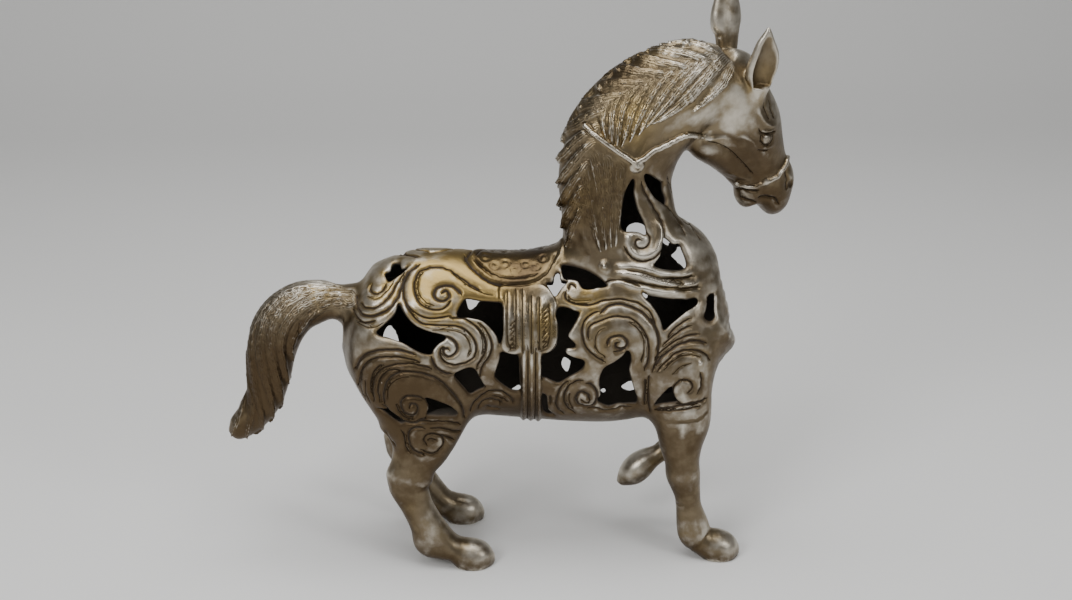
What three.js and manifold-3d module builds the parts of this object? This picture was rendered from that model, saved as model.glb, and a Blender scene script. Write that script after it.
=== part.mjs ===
// Openwork horse: a cast metal statue of a stepping horse, hollow, its skin pierced all
// over with scrollwork. It stands on three hooves and lifts its left foreleg. Millimetres,
// +Z up, +X towards the head, the horse's right side towards -Y.
import * as THREE from "three";
import { mergeVertices } from "three/addons/utils/BufferGeometryUtils.js";
import Module from "manifold-3d";

const wasm = await Module();
wasm.setup();

// Driving dimensions
const WALL = 3.2; // thickness of the cast skin
const HEAD_TURN = 22; // degrees that the head looks to the horse's left
const HEAD_ROLL = 8; // degrees that its right ear hangs lower than the left one
const POLL = [104, 3, 330]; // the head turns about this point
const NECK_TURN = 20; // degrees that the neck has turned by its top
const ORIGIN_SHIFT = [15.78, -4.07, 0]; // from here to the middle of the outline in plan
const COLOUR = 0x8c8168;
const ROUGHNESS = 0.38;
const METALNESS = 1;

const radians = THREE.MathUtils.degToRad;

// A closed mesh as a manifold-3d solid.
function solidOf(geometry) {
  for (const name of ["normal", "uv"]) geometry.deleteAttribute(name);
  const merged = mergeVertices(geometry, 1e-4);
  return new wasm.Manifold(
    new wasm.Mesh({
      numProp: 3,
      vertProperties: merged.attributes.position.array,
      triVerts: new Uint32Array(merged.index.array),
    }),
  );
}

// The same, from plain lists, with its faces turned outwards.
function closed(positions, indices) {
  const build = () => {
    const geometry = new THREE.BufferGeometry();
    geometry.setAttribute("position", new THREE.Float32BufferAttribute(positions, 3));
    geometry.setIndex(indices);
    return solidOf(geometry);
  };
  const solid = build();
  if (solid.volume() > 0) return solid;
  for (let i = 0; i < indices.length; i += 3) {
    [indices[i + 1], indices[i + 2]] = [indices[i + 2], indices[i + 1]];
  }
  return build();
}

const joined = (solids) => solids.reduce((whole, next) => whole.add(next));

// A form is a smooth path with an egg-shaped ring round every point of it. A station is
// [x, y, z, half width across, half depth on the plus side, on the minus side]. The plus
// side is the across axis turned a quarter round the path: the front of a leg, the top of
// the trunk, the crest of the neck.
class Form {
  constructor(stations, turns = [0, 0]) {
    const curve = (from) => new THREE.CatmullRomCurve3(
      stations.map((s) => new THREE.Vector3(s[from], s[from + 1], s[from + 2])),
      false, "catmullrom", 0.5);
    this.path = curve(0);
    this.sizes = curve(3);
    this.turns = turns.map(radians);
  }

  frame(t) {
    const along = this.path.getTangent(t);
    const turn = THREE.MathUtils.lerp(this.turns[0], this.turns[1], t);
    const across = new THREE.Vector3(Math.sin(turn), -Math.cos(turn), 0);
    across.addScaledVector(along, -across.dot(along)).normalize();
    const depth = new THREE.Vector3().crossVectors(across, along);
    return { centre: this.path.getPoint(t), across, depth, size: this.sizes.getPoint(t) };
  }

  // The point at an angle round the ring: 0 is the right flank, 90 the plus side. The
  // ring is scaled first and then grown by a number of millimetres.
  point(t, degrees, scale = 1, grow = 0, frame = this.frame(t)) {
    const angle = radians(degrees);
    const reach = Math.sin(angle) > 0 ? frame.size.y : frame.size.z;
    return frame.centre.clone()
      .addScaledVector(frame.across, (frame.size.x * scale + grow) * Math.cos(angle))
      .addScaledVector(frame.depth, (reach * scale + grow) * Math.sin(angle));
  }

  // The whole closed body of the form.
  body({ steps = 11, sides = 8, grow = 0, start = 0, end = 1 } = {}) {
    const positions = [];
    const indices = [];
    for (let i = 0; i <= steps; i += 1) {
      const t = THREE.MathUtils.lerp(start, end, i / steps);
      const frame = this.frame(t);
      for (let k = 0; k < sides; k += 1) {
        positions.push(...this.point(t, (360 * k) / sides, 1, grow, frame).toArray());
      }
    }
    positions.push(...this.path.getPoint(start).toArray(), ...this.path.getPoint(end).toArray());
    const first = (steps + 1) * sides;
    const last = steps * sides;
    for (let k = 0; k < sides; k += 1) {
      const next = (k + 1) % sides;
      for (let i = 0; i < last; i += sides) {
        indices.push(i + k, i + next, i + next + sides, i + k, i + next + sides, i + k + sides);
      }
      indices.push(first, next, k, first + 1, last + k, last + next);
    }
    return closed(positions, indices);
  }

  // A plug through the skin: a closed outline of [t, degrees], from one scale of the ring
  // to another.
  plug(outline, inner = 0.6, outer = 1.45, detail = 1.3) {
    const loop = new THREE.CatmullRomCurve3(
      outline.map(([t, degrees]) => new THREE.Vector3(t, degrees, 0)), true, "catmullrom", 0.5);
    const count = Math.round(outline.length * detail);
    const rim = Array.from({ length: count }, (_, i) => loop.getPoint(i / count));
    const flat = rim.map((p) => new THREE.Vector2(p.x * 400, p.y));
    const positions = [inner, outer].flatMap((scale) =>
      rim.flatMap((p) => this.point(p.x, p.y, scale).toArray()));
    const indices = [];
    for (const [a, b, c] of THREE.ShapeUtils.triangulateShape(flat, [])) {
      indices.push(a, c, b, a + count, b + count, c + count);
    }
    for (let i = 0; i < count; i += 1) {
      const next = (i + 1) % count;
      const [a, b] = THREE.ShapeUtils.isClockWise(flat) ? [next, i] : [i, next];
      indices.push(a, b, b + count, a, b + count, a + count);
    }
    return closed(positions, indices);
  }

  // A plate that lies on the skin, between rows of [degrees, t of one edge, t of the other].
  plate(rows, thickness, { across = 4, along = 8, sink = 1.5 } = {}) {
    const edges = new THREE.CatmullRomCurve3(
      rows.map((row) => new THREE.Vector3(...row)), false, "catmullrom", 0.5);
    const positions = [];
    const indices = [];
    for (const grow of [-sink, thickness]) {
      for (let i = 0; i <= along; i += 1) {
        const edge = edges.getPoint(i / along);
        for (let k = 0; k <= across; k += 1) {
          const t = THREE.MathUtils.lerp(edge.y, edge.z, k / across);
          positions.push(...this.point(t, edge.x, 1, grow).toArray());
        }
      }
    }
    const layer = (along + 1) * (across + 1);
    const at = (i, k) => i * (across + 1) + k;
    const quad = (a, b, c, d) => indices.push(a, b, c, a, c, d);
    for (let i = 0; i < along; i += 1) {
      for (let k = 0; k < across; k += 1) {
        quad(at(i, k), at(i, k + 1), at(i + 1, k + 1), at(i + 1, k));
        quad(layer + at(i, k), layer + at(i + 1, k), layer + at(i + 1, k + 1), layer + at(i, k + 1));
      }
      quad(at(i, 0), at(i + 1, 0), layer + at(i + 1, 0), layer + at(i, 0));
      quad(at(i + 1, across), at(i, across), layer + at(i, across), layer + at(i + 1, across));
    }
    for (let k = 0; k < across; k += 1) {
      quad(at(0, k + 1), at(0, k), layer + at(0, k), layer + at(0, k + 1));
      quad(at(along, k), at(along, k + 1), layer + at(along, k + 1), layer + at(along, k));
    }
    return closed(positions, indices);
  }
}

// A ball, flattened along one direction.
function button(centre, radius, outward, height) {
  const ball = new THREE.SphereGeometry(radius, 8, 4).scale(1, 1, height / radius);
  const towards = new THREE.Quaternion().setFromUnitVectors(new THREE.Vector3(0, 0, 1), outward);
  return solidOf(ball.applyQuaternion(towards).translate(...centre.toArray()));
}

// The same list on the other side of the horse, or moved along and across.
const mirrored = (stations) => stations.map(([x, y, ...rest]) => [x, -y, ...rest]);
const moved = (stations, dx, dy) => stations.map(([x, y, ...rest]) => [x + dx, y + dy, ...rest]);
const bothSides = (outline) => [outline, outline.map(([t, degrees]) => [t, 180 - degrees])];

// Cut level with the ground.
const ground = solidOf(new THREE.BoxGeometry(500, 200, 80).translate(0, 0, -40));
const standing = (solid) => solid.subtract(ground);

// The trunk, from the rump to the chest.
const TRUNK = [
  [-128, 0, 168, 11, 20, 18],
  [-119, 0, 166, 27, 39, 37],
  [-104, 0, 164, 35, 50, 48],
  [-84, 0, 163, 40, 56, 54],
  [-60, 0, 163, 41, 57, 59],
  [-35, 0, 162, 40, 56, 60],
  [-5, 0, 161, 41, 57, 60],
  [25, 0, 161, 42, 63, 63],
  [55, 0, 162, 42, 66, 65],
  [85, 0, 167, 40, 62, 60],
  [108, 0, 173, 32, 50, 48],
  [120, 0, 178, 21, 32, 32],
  [126, 0, 180, 9, 13, 13],
];
// Hind leg, from the hip down to the pastern.
const HIND = [
  [-88, 22, 190, 14, 22, 26],
  [-90, 23, 165, 20, 34, 36],
  [-88, 25, 140, 20, 38, 33],
  [-80, 27, 118, 18, 31, 31],
  [-78, 28, 102, 15.5, 26, 29],
  [-80, 29, 88, 13, 20, 22],
  [-84, 30, 76, 11.5, 15, 16],
  [-86, 31, 67, 11, 15, 19],
  [-87, 31, 59, 10, 12.5, 15],
  [-83, 32, 47, 9, 10.5, 12],
  [-76, 33, 34, 9.5, 10, 13],
  [-69, 33, 22, 10, 10.5, 15],
  [-60, 33, 13, 9.5, 9, 12],
];
// Standing foreleg, from the shoulder down to the pastern.
const FORE = [
  [92, 14, 174, 10, 14, 18],
  [99, 22, 145, 18, 22, 27],
  [100, 25, 122, 17, 20, 22],
  [100, 26, 104, 15, 19, 19],
  [99, 27, 88, 12.5, 15, 15],
  [100, 27, 74, 11.5, 12, 12],
  [101, 27, 64, 11.5, 12, 12],
  [104, 27, 51, 9, 9.5, 9.5],
  [106, 27, 40, 8.5, 8.5, 8.5],
  [109, 27, 27, 9.5, 10.5, 10.5],
  [112, 27, 17, 10, 11, 12.5],
  [119, 27, 10, 9, 9, 8],
];
// Raised foreleg: the forearm comes forward and the cannon folds back.
const RAISED = [
  [92, 14, 174, 10, 14, 18],
  [99, 22, 145, 18, 22, 27],
  [101, 25, 122, 17, 20, 22],
  [104, 26, 104, 14.5, 18, 18],
  [108, 27, 90, 11.5, 13, 14],
  [110, 27, 78, 11, 11.5, 12],
  [105, 27, 66, 10, 10.5, 10],
  [97, 27, 58, 9, 8.5, 9],
  [88, 27, 52, 10, 10, 9.5],
  [80, 27, 47, 9.5, 9, 9],
];
// Hooves, from heel to toe; the standing ones are cut level at the ground.
const HOOF_HIND = [
  [-62, 33, 13, 7, 6, 8],
  [-56, 33, 10, 10.5, 10, 13],
  [-48, 33, 7.5, 12, 12, 18],
  [-39, 33, 6.5, 11, 10.5, 18],
  [-33, 33, 5.5, 7, 6.5, 12],
  [-30.5, 33, 5, 2.5, 2.5, 6],
];
const HOOF_FORE = [
  [111, 27, 12, 6, 6, 8],
  [116, 27, 10, 10, 10, 13],
  [124, 27, 8, 12, 12.5, 18],
  [133, 27, 6.5, 11, 10.5, 18],
  [139, 27, 5.5, 7, 6.5, 12],
  [141.5, 27, 5, 2.5, 2.5, 6],
];
const HOOF_RAISED = [
  [90, 27, 53, 7, 7, 6],
  [82, 27, 49, 10, 10, 9],
  [75, 27, 43, 11, 11.5, 10],
  [68, 27, 36, 9.5, 10, 8.5],
  [63, 27, 31, 5, 5, 5],
];
// Neck, from inside the chest up to the poll.
const NECK = [
  [82, 0, 174, 27, 40, 36],
  [73, 0, 202, 32, 50, 52],
  [61, 0, 228, 29, 44, 43],
  [55, 0, 250, 26, 38, 38],
  [55, 1, 272, 25, 40, 36],
  [62, 1, 292, 24, 43, 35],
  [76, 2, 310, 23, 44, 32],
  [92, 3, 324, 22, 39, 30],
  [108, 6, 332, 20, 31, 26],
  [122, 10, 334, 14, 22, 18],
];
// Tail, from the dock to the tip.
const TAIL = [
  [-114, 0, 184, 9, 15, 12],
  [-132, 0, 185, 9.5, 13, 12],
  [-147, 0, 185, 11, 16, 13],
  [-162, 0, 179, 13, 18, 14],
  [-173, 0, 167, 14, 19, 15],
  [-180, 0, 150, 14, 19, 15],
  [-183, 0, 132, 13, 18, 14],
  [-187, 0, 115, 12, 15, 13],
  [-195, 0, 99, 10, 13, 12],
  [-203, 0, 88, 6, 10, 9],
  [-209, 0, 83, 2, 4, 3],
];

// Head stations lie in the head's own plane, which is turned to the left and rolled:
// [forward, up, half width, half depth towards the forehead, towards the jaw].
const FACE = [
  [14, 12, 12, 12, 12],
  [23, 2, 18, 19, 22],
  [34, -14, 20, 23, 30],
  [44, -30, 20, 24, 32],
  [52, -46, 17, 21, 24],
  [59, -61, 14.5, 19, 17],
  [65, -74, 14, 20, 14],
  [68, -84, 13.5, 18, 12],
  [71, -92, 12, 13, 9],
  [73, -98, 7, 8, 6],
];
const JAW = [
  [10, -28, 10, 14, 22],
  [18, -38, 14, 14, 21],
  [28, -50, 13, 14, 16],
  [38, -62, 11, 12, 11],
  [47, -73, 10, 10, 9],
  [51, -82, 10, 9, 9],
  [54, -89, 7, 7, 7],
];
// Ears: leaf shapes with a hollow cup on the outer side, [forward, up, out, half width,
// half depth]. The left one stands straighter.
const EAR_RIGHT = [
  [36, -14, 12, 6, 6],
  [37, 4, 18, 8, 6],
  [36, 14, 20, 11, 6.5],
  [36, 24, 22, 10.5, 5.5],
  [35, 34, 23, 7, 4],
  [35, 41, 24, 3.2, 2.4],
  [34.5, 45.5, 24.5, 0.7, 0.7],
];
const EAR_LEFT = EAR_RIGHT.map(([forward, up, out, ...rest], i) =>
  [forward - 6, up + (i === 0 ? 8 : 20), -out, ...rest]);

const headForward = new THREE.Vector3(1, 0, 0).applyAxisAngle(new THREE.Vector3(0, 0, 1), radians(HEAD_TURN));
const headUp = new THREE.Vector3(0, 0, 1).applyAxisAngle(headForward, radians(HEAD_ROLL));
const headRight = new THREE.Vector3().crossVectors(headForward, headUp);
function inHead(forward, up, right = 0) {
  return new THREE.Vector3(...POLL).addScaledVector(headForward, forward)
    .addScaledVector(headUp, up).addScaledVector(headRight, right);
}
const headForm = (stations) => new Form(
  stations.map(([forward, up, ...sizes]) => [...inHead(forward, up).toArray(), ...sizes]),
  [HEAD_TURN, HEAD_TURN]);
function ear(stations, side) {
  const place = (list) => new Form(list.map(([forward, up, out, wide, deep]) =>
    [...inHead(forward, up, out).toArray(), wide, deep, deep]), [90 + HEAD_TURN, 90 + HEAD_TURN]);
  const cup = stations.slice(1, 6).map(([forward, up, out, wide, deep]) =>
    [forward, up, out + side * 4.5, wide * 0.78, deep * 0.9]);
  return place(stations).body({ steps: 6, sides: 8 })
    .subtract(place(cup).body({ steps: 4, sides: 5 }));
}

const trunk = new Form(TRUNK);
const neck = new Form(NECK, [0, NECK_TURN]);

// Where along the trunk's path a given x lies.
function atX(x) {
  let [low, high] = [0, 1];
  for (let i = 0; i < 20; i += 1) {
    const middle = (low + high) / 2;
    if (trunk.path.getPoint(middle).x < x) low = middle;
    else high = middle;
  }
  return (low + high) / 2;
}
const trunkOutline = (outline) => outline.map(([x, degrees]) => [atX(x), degrees]);

// Openings of the scrollwork, as [x, degrees round the trunk from the level of the flank].
// The same on both sides.
const OPENINGS = {
  thighSlot: [[-106, -38], [-97, -38], [-86, -40], [-89, -45], [-98, -44]],
  gaskin: [[-76, -28], [-66, -34], [-54, -45], [-72, -40]],
  rumpTop: [[-101, 60], [-98, 76], [-88, 74], [-87, 62], [-94, 56]],
  bellyRear: [[-55, -14], [-42, -12], [-37, -28], [-44, -38], [-50, -33]],
  wither: [[16, 62], [26, 62], [39, 51], [42, 44], [36, 41], [27, 43], [20, 50]],
  chestSlot: [[113, 29], [119, 30], [120, -2], [114, 2]],
  elbow: [[91, -27], [92, -36], [87, -42], [79, -48], [84, -36]],
  collarLow: [[72, 33], [89, 31], [105, 29], [105, 21], [94, 15], [84, 8], [80, 18]],
};
// Only on the right side, the one that is seen in full.
const OPENINGS_RIGHT = {
  haunch: [[-91, 36], [-82, 19], [-68, 8], [-66, 1], [-73, -3], [-84, 7], [-98, 9], [-109, 12], [-103, 22]],
  saddleBack: [[-53, 37], [-38, 38], [-24, 38], [-23, 8], [-31, 10], [-40, 26], [-52, 27]],
  flank: [[10, 28], [25, 28], [26, 20], [20, 12], [24, 3], [32, -5], [30, -12], [16, -21], [1, -20], [2, 0], [9, 10]],
  girthBehind: [[-26, 1], [-13, 1], [-11, -22], [-20, -29], [-30, -24], [-25, -10]],
  girthTop: [[11, 57], [19, 48], [16, 43], [10, 40], [6, 48]],
  shoulder: [[43, -11], [58, 1], [62, -10], [66, -30], [67, -48], [52, -48], [39, -42], [43, -26]],
};
// Only on the left side, plainer.
const OPENINGS_LEFT = {
  haunch: [[-91, 36], [-80, 22], [-74, 13], [-92, 12], [-106, 15], [-103, 22]],
  saddleBack: [[-53, 37], [-38, 38], [-24, 38], [-25, 22], [-35, 20], [-39, 7], [-47, 6], [-52, 22]],
  flank: [[8, 30], [24, 29], [24, 17], [18, 9], [7, 12]],
  girthBehind: [[-26, 2], [-13, 2], [-12, -18], [-20, -26], [-29, -20]],
  shoulder: [[43, -8], [57, 2], [62, -8], [58, -22], [45, -22]],
  haunchLow: [[-107, -16], [-97, -15], [-95, -24], [-103, -26]],
  flankLow: [[17, -34], [27, -36], [26, -46], [18, -45]],
  bellyFront: [[59, -57], [69, -57], [70, -67], [60, -66]],
  bellyGirth: [[-19, -60], [-10, -60], [-10, -70], [-18, -70]],
};
// Openings of the neck, as [part of the way up, degrees round it].
const NECK_OPENINGS_RIGHT = {
  throat: [[0.57, -15], [0.53, -40], [0.38, -46], [0.43, -32], [0.5, -22]],
  leaf: [[0.54, -4], [0.45, -11], [0.33, -16], [0.29, -14], [0.3, 2], [0.35, 8], [0.46, 3]],
  volute: [[0.26, -30], [0.2, -40], [0.12, -44], [0.12, -30], [0.15, -12], [0.2, -20]],
  frontSlot: [[0.25, -59], [0.21, -66], [0.15, -73], [0.17, -62]],
};
const NECK_OPENINGS_LEFT = {
  throat: [[0.57, -165], [0.53, -140], [0.42, -138], [0.46, -152]],
  leaf: [[0.55, 180], [0.47, 190], [0.44, 184], [0.46, 172]],
  base: [[0.21, -176], [0.22, -166], [0.19, -161], [0.16, -166], [0.17, -175]],
  volute: [[0.09, -154], [0.13, -150], [0.13, -142], [0.07, -140], [0.06, -148]],
};

const skin = joined([
  trunk.body({ steps: 14, sides: 16 }),
  new Form(moved(HIND, -5, 0)).body(),
  new Form(mirrored(HIND)).body(),
  new Form(mirrored(FORE)).body(),
  new Form(RAISED).body({ steps: 10 }),
  neck.body({ steps: 11, sides: 14 }),
  headForm(FACE).body({ steps: 10, sides: 12 }),
  headForm(JAW).body({ steps: 6, sides: 8 }),
  new Form(TAIL).body({ steps: 10, sides: 10 }),
  standing(new Form(mirrored(HOOF_HIND)).body({ steps: 5, sides: 10 })),
  standing(new Form(moved(HOOF_HIND, -7, 1)).body({ steps: 5, sides: 10 })),
  standing(new Form(mirrored(HOOF_FORE)).body({ steps: 5, sides: 10 })),
  new Form(HOOF_RAISED).body({ steps: 5 }),
]);

// The hollow runs through the trunk, the tops of the legs and the lower neck.
const hollow = joined([
  new Form(TRUNK.slice(1, -1)).body({ steps: 9, sides: 12, grow: -WALL }),
  ...[moved(HIND, -5, 0), mirrored(HIND), mirrored(FORE), RAISED].map((leg) =>
    new Form(leg.slice(1, 4)).body({ steps: 3, sides: 7, grow: -WALL })),
  new Form(NECK.slice(1, 6), [0, NECK_TURN / 2]).body({ steps: 6, sides: 10, grow: -WALL }),
]);

const rightHoles = [...Object.values(OPENINGS), ...Object.values(OPENINGS_RIGHT)];
const leftHoles = [...Object.values(OPENINGS), ...Object.values(OPENINGS_LEFT)];
const holes = joined([
  ...rightHoles.map((outline) => trunk.plug(bothSides(trunkOutline(outline))[0])),
  ...leftHoles.map((outline) => trunk.plug(bothSides(trunkOutline(outline))[1], 0.6, 1.45, 1)),
]);
const neckHoles = joined([
  ...Object.values(NECK_OPENINGS_RIGHT), ...Object.values(NECK_OPENINGS_LEFT),
].map((outline) => neck.plug(outline, 0.5, 1.3)));

// Saddle pad, its flaps, and the girth that goes all the way round.
const saddleRow = (degrees, from, to) => [degrees, atX(from), atX(to)];
const SADDLE = [
  saddleRow(49, -18, -2), saddleRow(54, -26, 5), saddleRow(62, -34, 11),
  saddleRow(74, -42, 18), saddleRow(90, -46, 22), saddleRow(106, -42, 18),
  saddleRow(118, -34, 11), saddleRow(126, -26, 5), saddleRow(131, -18, -2),
];
const FLAP = [saddleRow(52, -22, 9), saddleRow(35, -24, 11), saddleRow(12, -23, 11), saddleRow(0, -16, 6)];
const tack = joined([
  trunk.plate(SADDLE, 2.2, { across: 3, along: 10 }),
  ...bothSides(FLAP).map((rows) => trunk.plate(rows, 1.6, { across: 1, along: 4, sink: 3 })),
  trunk.plate([saddleRow(55, -9, 2), saddleRow(-90, -9, 3), saddleRow(-235, -9, 2)], 3,
    { across: 1, along: 18, sink: 3 }),
  button(trunk.point(atX(-9), 90, 1, 2), 3, new THREE.Vector3(0, 0, 1), 2.6),
]);

// Collar: a rounded band from a rosette on each shoulder round the chest.
const COLLAR = [[0.2, 29], [0.16, 11], [0.12, -5], [0.09, -24], [0.07, -45], [0.06, -67], [0.06, -90]];
const collarPath = COLLAR.concat(COLLAR.slice(0, -1).reverse().map(([t, a]) => [t, -180 - a]));
const collar = new Form(collarPath.map(([t, a]) =>
  [...neck.point(t, a, 1, -0.5).toArray(), 3.6, 6.4, 6.4]), [-60, 240]);
const rosettes = [29, 151].map((a) =>
  button(neck.point(0.2, a, 1, 1), 6, new THREE.Vector3(0, a > 90 ? 1 : -1, 0), 4));

// Mane: locks that step down the crest and end in points on its left side.
const LOCKS = 7;
const mane = Array.from({ length: LOCKS }, (_, i) => {
  const t = 0.95 - 0.52 * (i / (LOCKS - 1));
  return new Form([0, 0.5, 1].map((part) => {
    const centre = neck.point(t - 0.085 * part, THREE.MathUtils.lerp(84, 104, part), 1, -2);
    const size = [4.2, 5, 1.4][part * 2];
    return [...centre.toArray(), size, size, size];
  })).body({ steps: 2, sides: 6 });
});

const pierced = skin.subtract(hollow).subtract(holes).subtract(neckHoles);
const whole = joined([
  pierced, tack, collar.body({ steps: 14, sides: 8 }), ...rosettes,
  ear(EAR_RIGHT, 1), ear(EAR_LEFT, -1), ...mane,
]);

function meshOf(solid, name) {
  const made = solid.getMesh();
  const geometry = new THREE.BufferGeometry();
  geometry.setAttribute("position", new THREE.BufferAttribute(new Float32Array(made.vertProperties), 3));
  geometry.setIndex(new THREE.BufferAttribute(new Uint32Array(made.triVerts), 1));
  geometry.translate(...ORIGIN_SHIFT);
  geometry.computeVertexNormals();
  const mesh = new THREE.Mesh(geometry,
    new THREE.MeshStandardMaterial({ color: COLOUR, roughness: ROUGHNESS, metalness: METALNESS }));
  mesh.name = name;
  return mesh;
}

const statuette = new THREE.Group();
statuette.name = "openwork horse";
statuette.add(meshOf(whole, "horse"));
export default statuette;
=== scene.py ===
"""Openwork horse: the looks of a hollow cast metal statue of a stepping horse.

The statue is one casting. Its limbs are profiles carried along paths; their distance fields
are joined into one skin, hollowed out, pierced and chased, and the surface where the field
is zero becomes one mesh. Lengths are millimetres in the horse's own frame until the mesh is
written, +X to the head, the horse's right side towards -Y, +Z up.
"""
from __future__ import annotations

import logging
import math
from collections.abc import Iterator
from dataclasses import dataclass, field
from enum import Enum

import bpy
import numpy as np
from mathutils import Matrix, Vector

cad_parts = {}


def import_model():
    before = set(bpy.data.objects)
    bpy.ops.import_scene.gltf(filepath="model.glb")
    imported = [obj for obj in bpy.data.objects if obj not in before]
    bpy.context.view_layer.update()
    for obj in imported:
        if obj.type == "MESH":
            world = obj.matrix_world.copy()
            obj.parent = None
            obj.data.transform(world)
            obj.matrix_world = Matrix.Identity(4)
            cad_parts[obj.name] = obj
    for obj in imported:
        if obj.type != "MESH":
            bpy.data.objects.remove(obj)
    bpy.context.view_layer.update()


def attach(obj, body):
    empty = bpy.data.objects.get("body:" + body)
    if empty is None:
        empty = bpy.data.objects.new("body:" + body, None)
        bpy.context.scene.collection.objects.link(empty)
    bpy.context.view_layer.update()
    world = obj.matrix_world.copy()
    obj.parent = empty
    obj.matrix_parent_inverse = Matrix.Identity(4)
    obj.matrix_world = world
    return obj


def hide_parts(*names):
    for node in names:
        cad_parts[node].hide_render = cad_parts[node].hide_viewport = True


LOG = logging.getLogger("horse")
Socket = bpy.types.NodeSocket
Colour = tuple[float, float, float]
# Where the horse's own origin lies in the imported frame, and the casting's thickness.
ORIGIN_SHIFT = np.array([15.78, -4.07, 0.0])
WALL = 3.2
# The head's turn to the left and its roll, both about the poll.
HEAD_TURN = math.radians(22)
HEAD_ROLL = math.radians(8)
POLL = np.array([104.0, 3.0, 330.0])
# The coarse field: the box it fills, its pitch, its value far outside, how far past a limb it
# is worked out, and the slopes that it is evened out between. Then the box of the fine one.
COARSE_BOX = ([-226, -60, -10], [194, 68, 412])
COARSE = 2.5
FAR_PLACE = 30.0
FIELD_REACH = 16.0
SLOPES = (0.6, 1.6)
FINE_BOX = ([-218, -52, -6], [186, 60, 406])
# Stand for no opening, edge or rope nearby, and for no chased line nearby.
NOWHERE = 9.0
UNTOUCHED = 6.0
# A path is chased into cells up to this height over it, not into the wall behind them.
ONE_WALL = 9.0
# How far an opening's rim reaches into the cells, and what is added to the far openings.
RIM_REACH = 6.0
FAR_GROW = -0.3
# Millimetres to a picture point at the horse's middle.
POINT_SIZE = 0.68
# Distances from the eye at which sight lines are tried.
SIGHT = np.arange(850.0, 1350.0, 1.5)
# The gap between a path's samples, how far a cell may lie from one along the path, and how
# many samples make a stretch.
TRACK_GAP = 0.7
HALF_GAP = 0.4
STRETCH = 14
# Below this a length or slope counts as nothing.
TINY = 1e-5
# The cups of the ears: how far out of the shell, and their share of its width and depth.
CUP_OUT = 4.5
CUP_WIDTH = 0.74
CUP_DEPTH = 0.85
EAR_TURN = (112.0, 112.0)
# Height of a hair strand, and the part of the way round a lock's end at which it narrows.
STRAND_HEIGHT = 0.32
LOCK_TIP = 0.38


def smooth_step(value: np.ndarray, low: float, high: float) -> np.ndarray:
    """Rise from 0 at low to 1 at high along 3t^2 - 2t^3."""
    part = np.clip((value - low) / (high - low), 0.0, 1.0)
    return part * part * (3.0 - 2.0 * part)


def blend_low(one: np.ndarray, other: np.ndarray, reach: float) -> np.ndarray:
    """The lower of two fields, with a fillet: min(a, b) - max(k - |a - b|, 0)^2 / 4k."""
    near = np.maximum(reach - np.abs(one - other), 0.0)
    return np.minimum(one, other) - near * near / (4.0 * reach)


def blend_high(one: np.ndarray, other: np.ndarray, reach: float) -> np.ndarray:
    """The higher of two fields, with a rounded edge between them."""
    return -blend_low(-one, -other, reach)


def through(points: np.ndarray, where: np.ndarray, closed: bool = False) -> np.ndarray:
    """A smooth curve through points, as a uniform cubic with half the chord for tangents.

    Args:
        points: The points to pass through, one row each.
        where: Places along the curve, in spans from the first point.
        closed: Whether the curve runs back to its start.

    Returns:
        The curve's points, one row for each place.
    """
    points = np.asarray(points, float)
    count = len(points)
    if closed:
        low = np.floor(where).astype(int)
        part = (where - low)[:, None]
        before, start, end, after = (points[(low + k) % count] for k in (-1, 0, 1, 2))
    else:
        padded = np.vstack([2 * points[:1] - points[1:2], points, 2 * points[-1:] - points[-2:-1]])
        low = np.clip(np.floor(where).astype(int), 0, count - 2)
        part = (where - low)[:, None]
        before, start, end, after = (padded[low + k] for k in range(4))
    leave, arrive = (end - before) / 2, (after - start) / 2
    return (
        start + leave * part
        + (3 * (end - start) - 2 * leave - arrive) * part**2
        + (2 * (start - end) + leave + arrive) * part**3
    )


def unit(vectors: np.ndarray) -> np.ndarray:
    """Each row divided by its length."""
    return vectors / np.maximum(np.linalg.norm(vectors, axis=-1, keepdims=True), 1e-9)


def path_length(points: np.ndarray) -> np.ndarray:
    """Length travelled along a path at each of its points."""
    return np.concatenate([[0], np.cumsum(np.linalg.norm(np.diff(points, axis=0), axis=1))])


@dataclass(frozen=True)
class Eyepoint:
    """The place the photograph was taken from, for a frame of 1072 by 600 points."""

    distance: float = 1100.0
    focal: float = 1617.6
    height: float = 184.0
    elevation: float = math.radians(20.5)
    yaw: float = math.radians(-2.0)
    middle: tuple[float, float] = (536.0, 300.0)
    frame_width: float = 1072.0

    def axes(self) -> tuple[np.ndarray, np.ndarray, np.ndarray]:
        """The directions to the viewer, to the right and up in the picture."""
        flat = math.cos(self.elevation)
        back = np.array([math.sin(self.yaw) * flat, -math.cos(self.yaw) * flat, math.sin(self.elevation)])
        right = np.array([math.cos(self.yaw), math.sin(self.yaw), 0.0])
        return back, right, np.cross(back, right)

    def place(self) -> np.ndarray:
        """Where the eye is, in millimetres."""
        return np.array([0.0, 0.0, self.height]) + self.axes()[0] * self.distance

    def rays(self, dots: np.ndarray) -> np.ndarray:
        """Unit directions from the eye through picture points.

        Args:
            dots: Rows of across and down in the frame.

        Returns:
            One direction for each row.
        """
        back, right, up = self.axes()
        across = (dots[:, :1] - self.middle[0]) / self.focal
        down = (dots[:, 1:2] - self.middle[1]) / self.focal
        return unit(-back + across * right - down * up)


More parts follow.
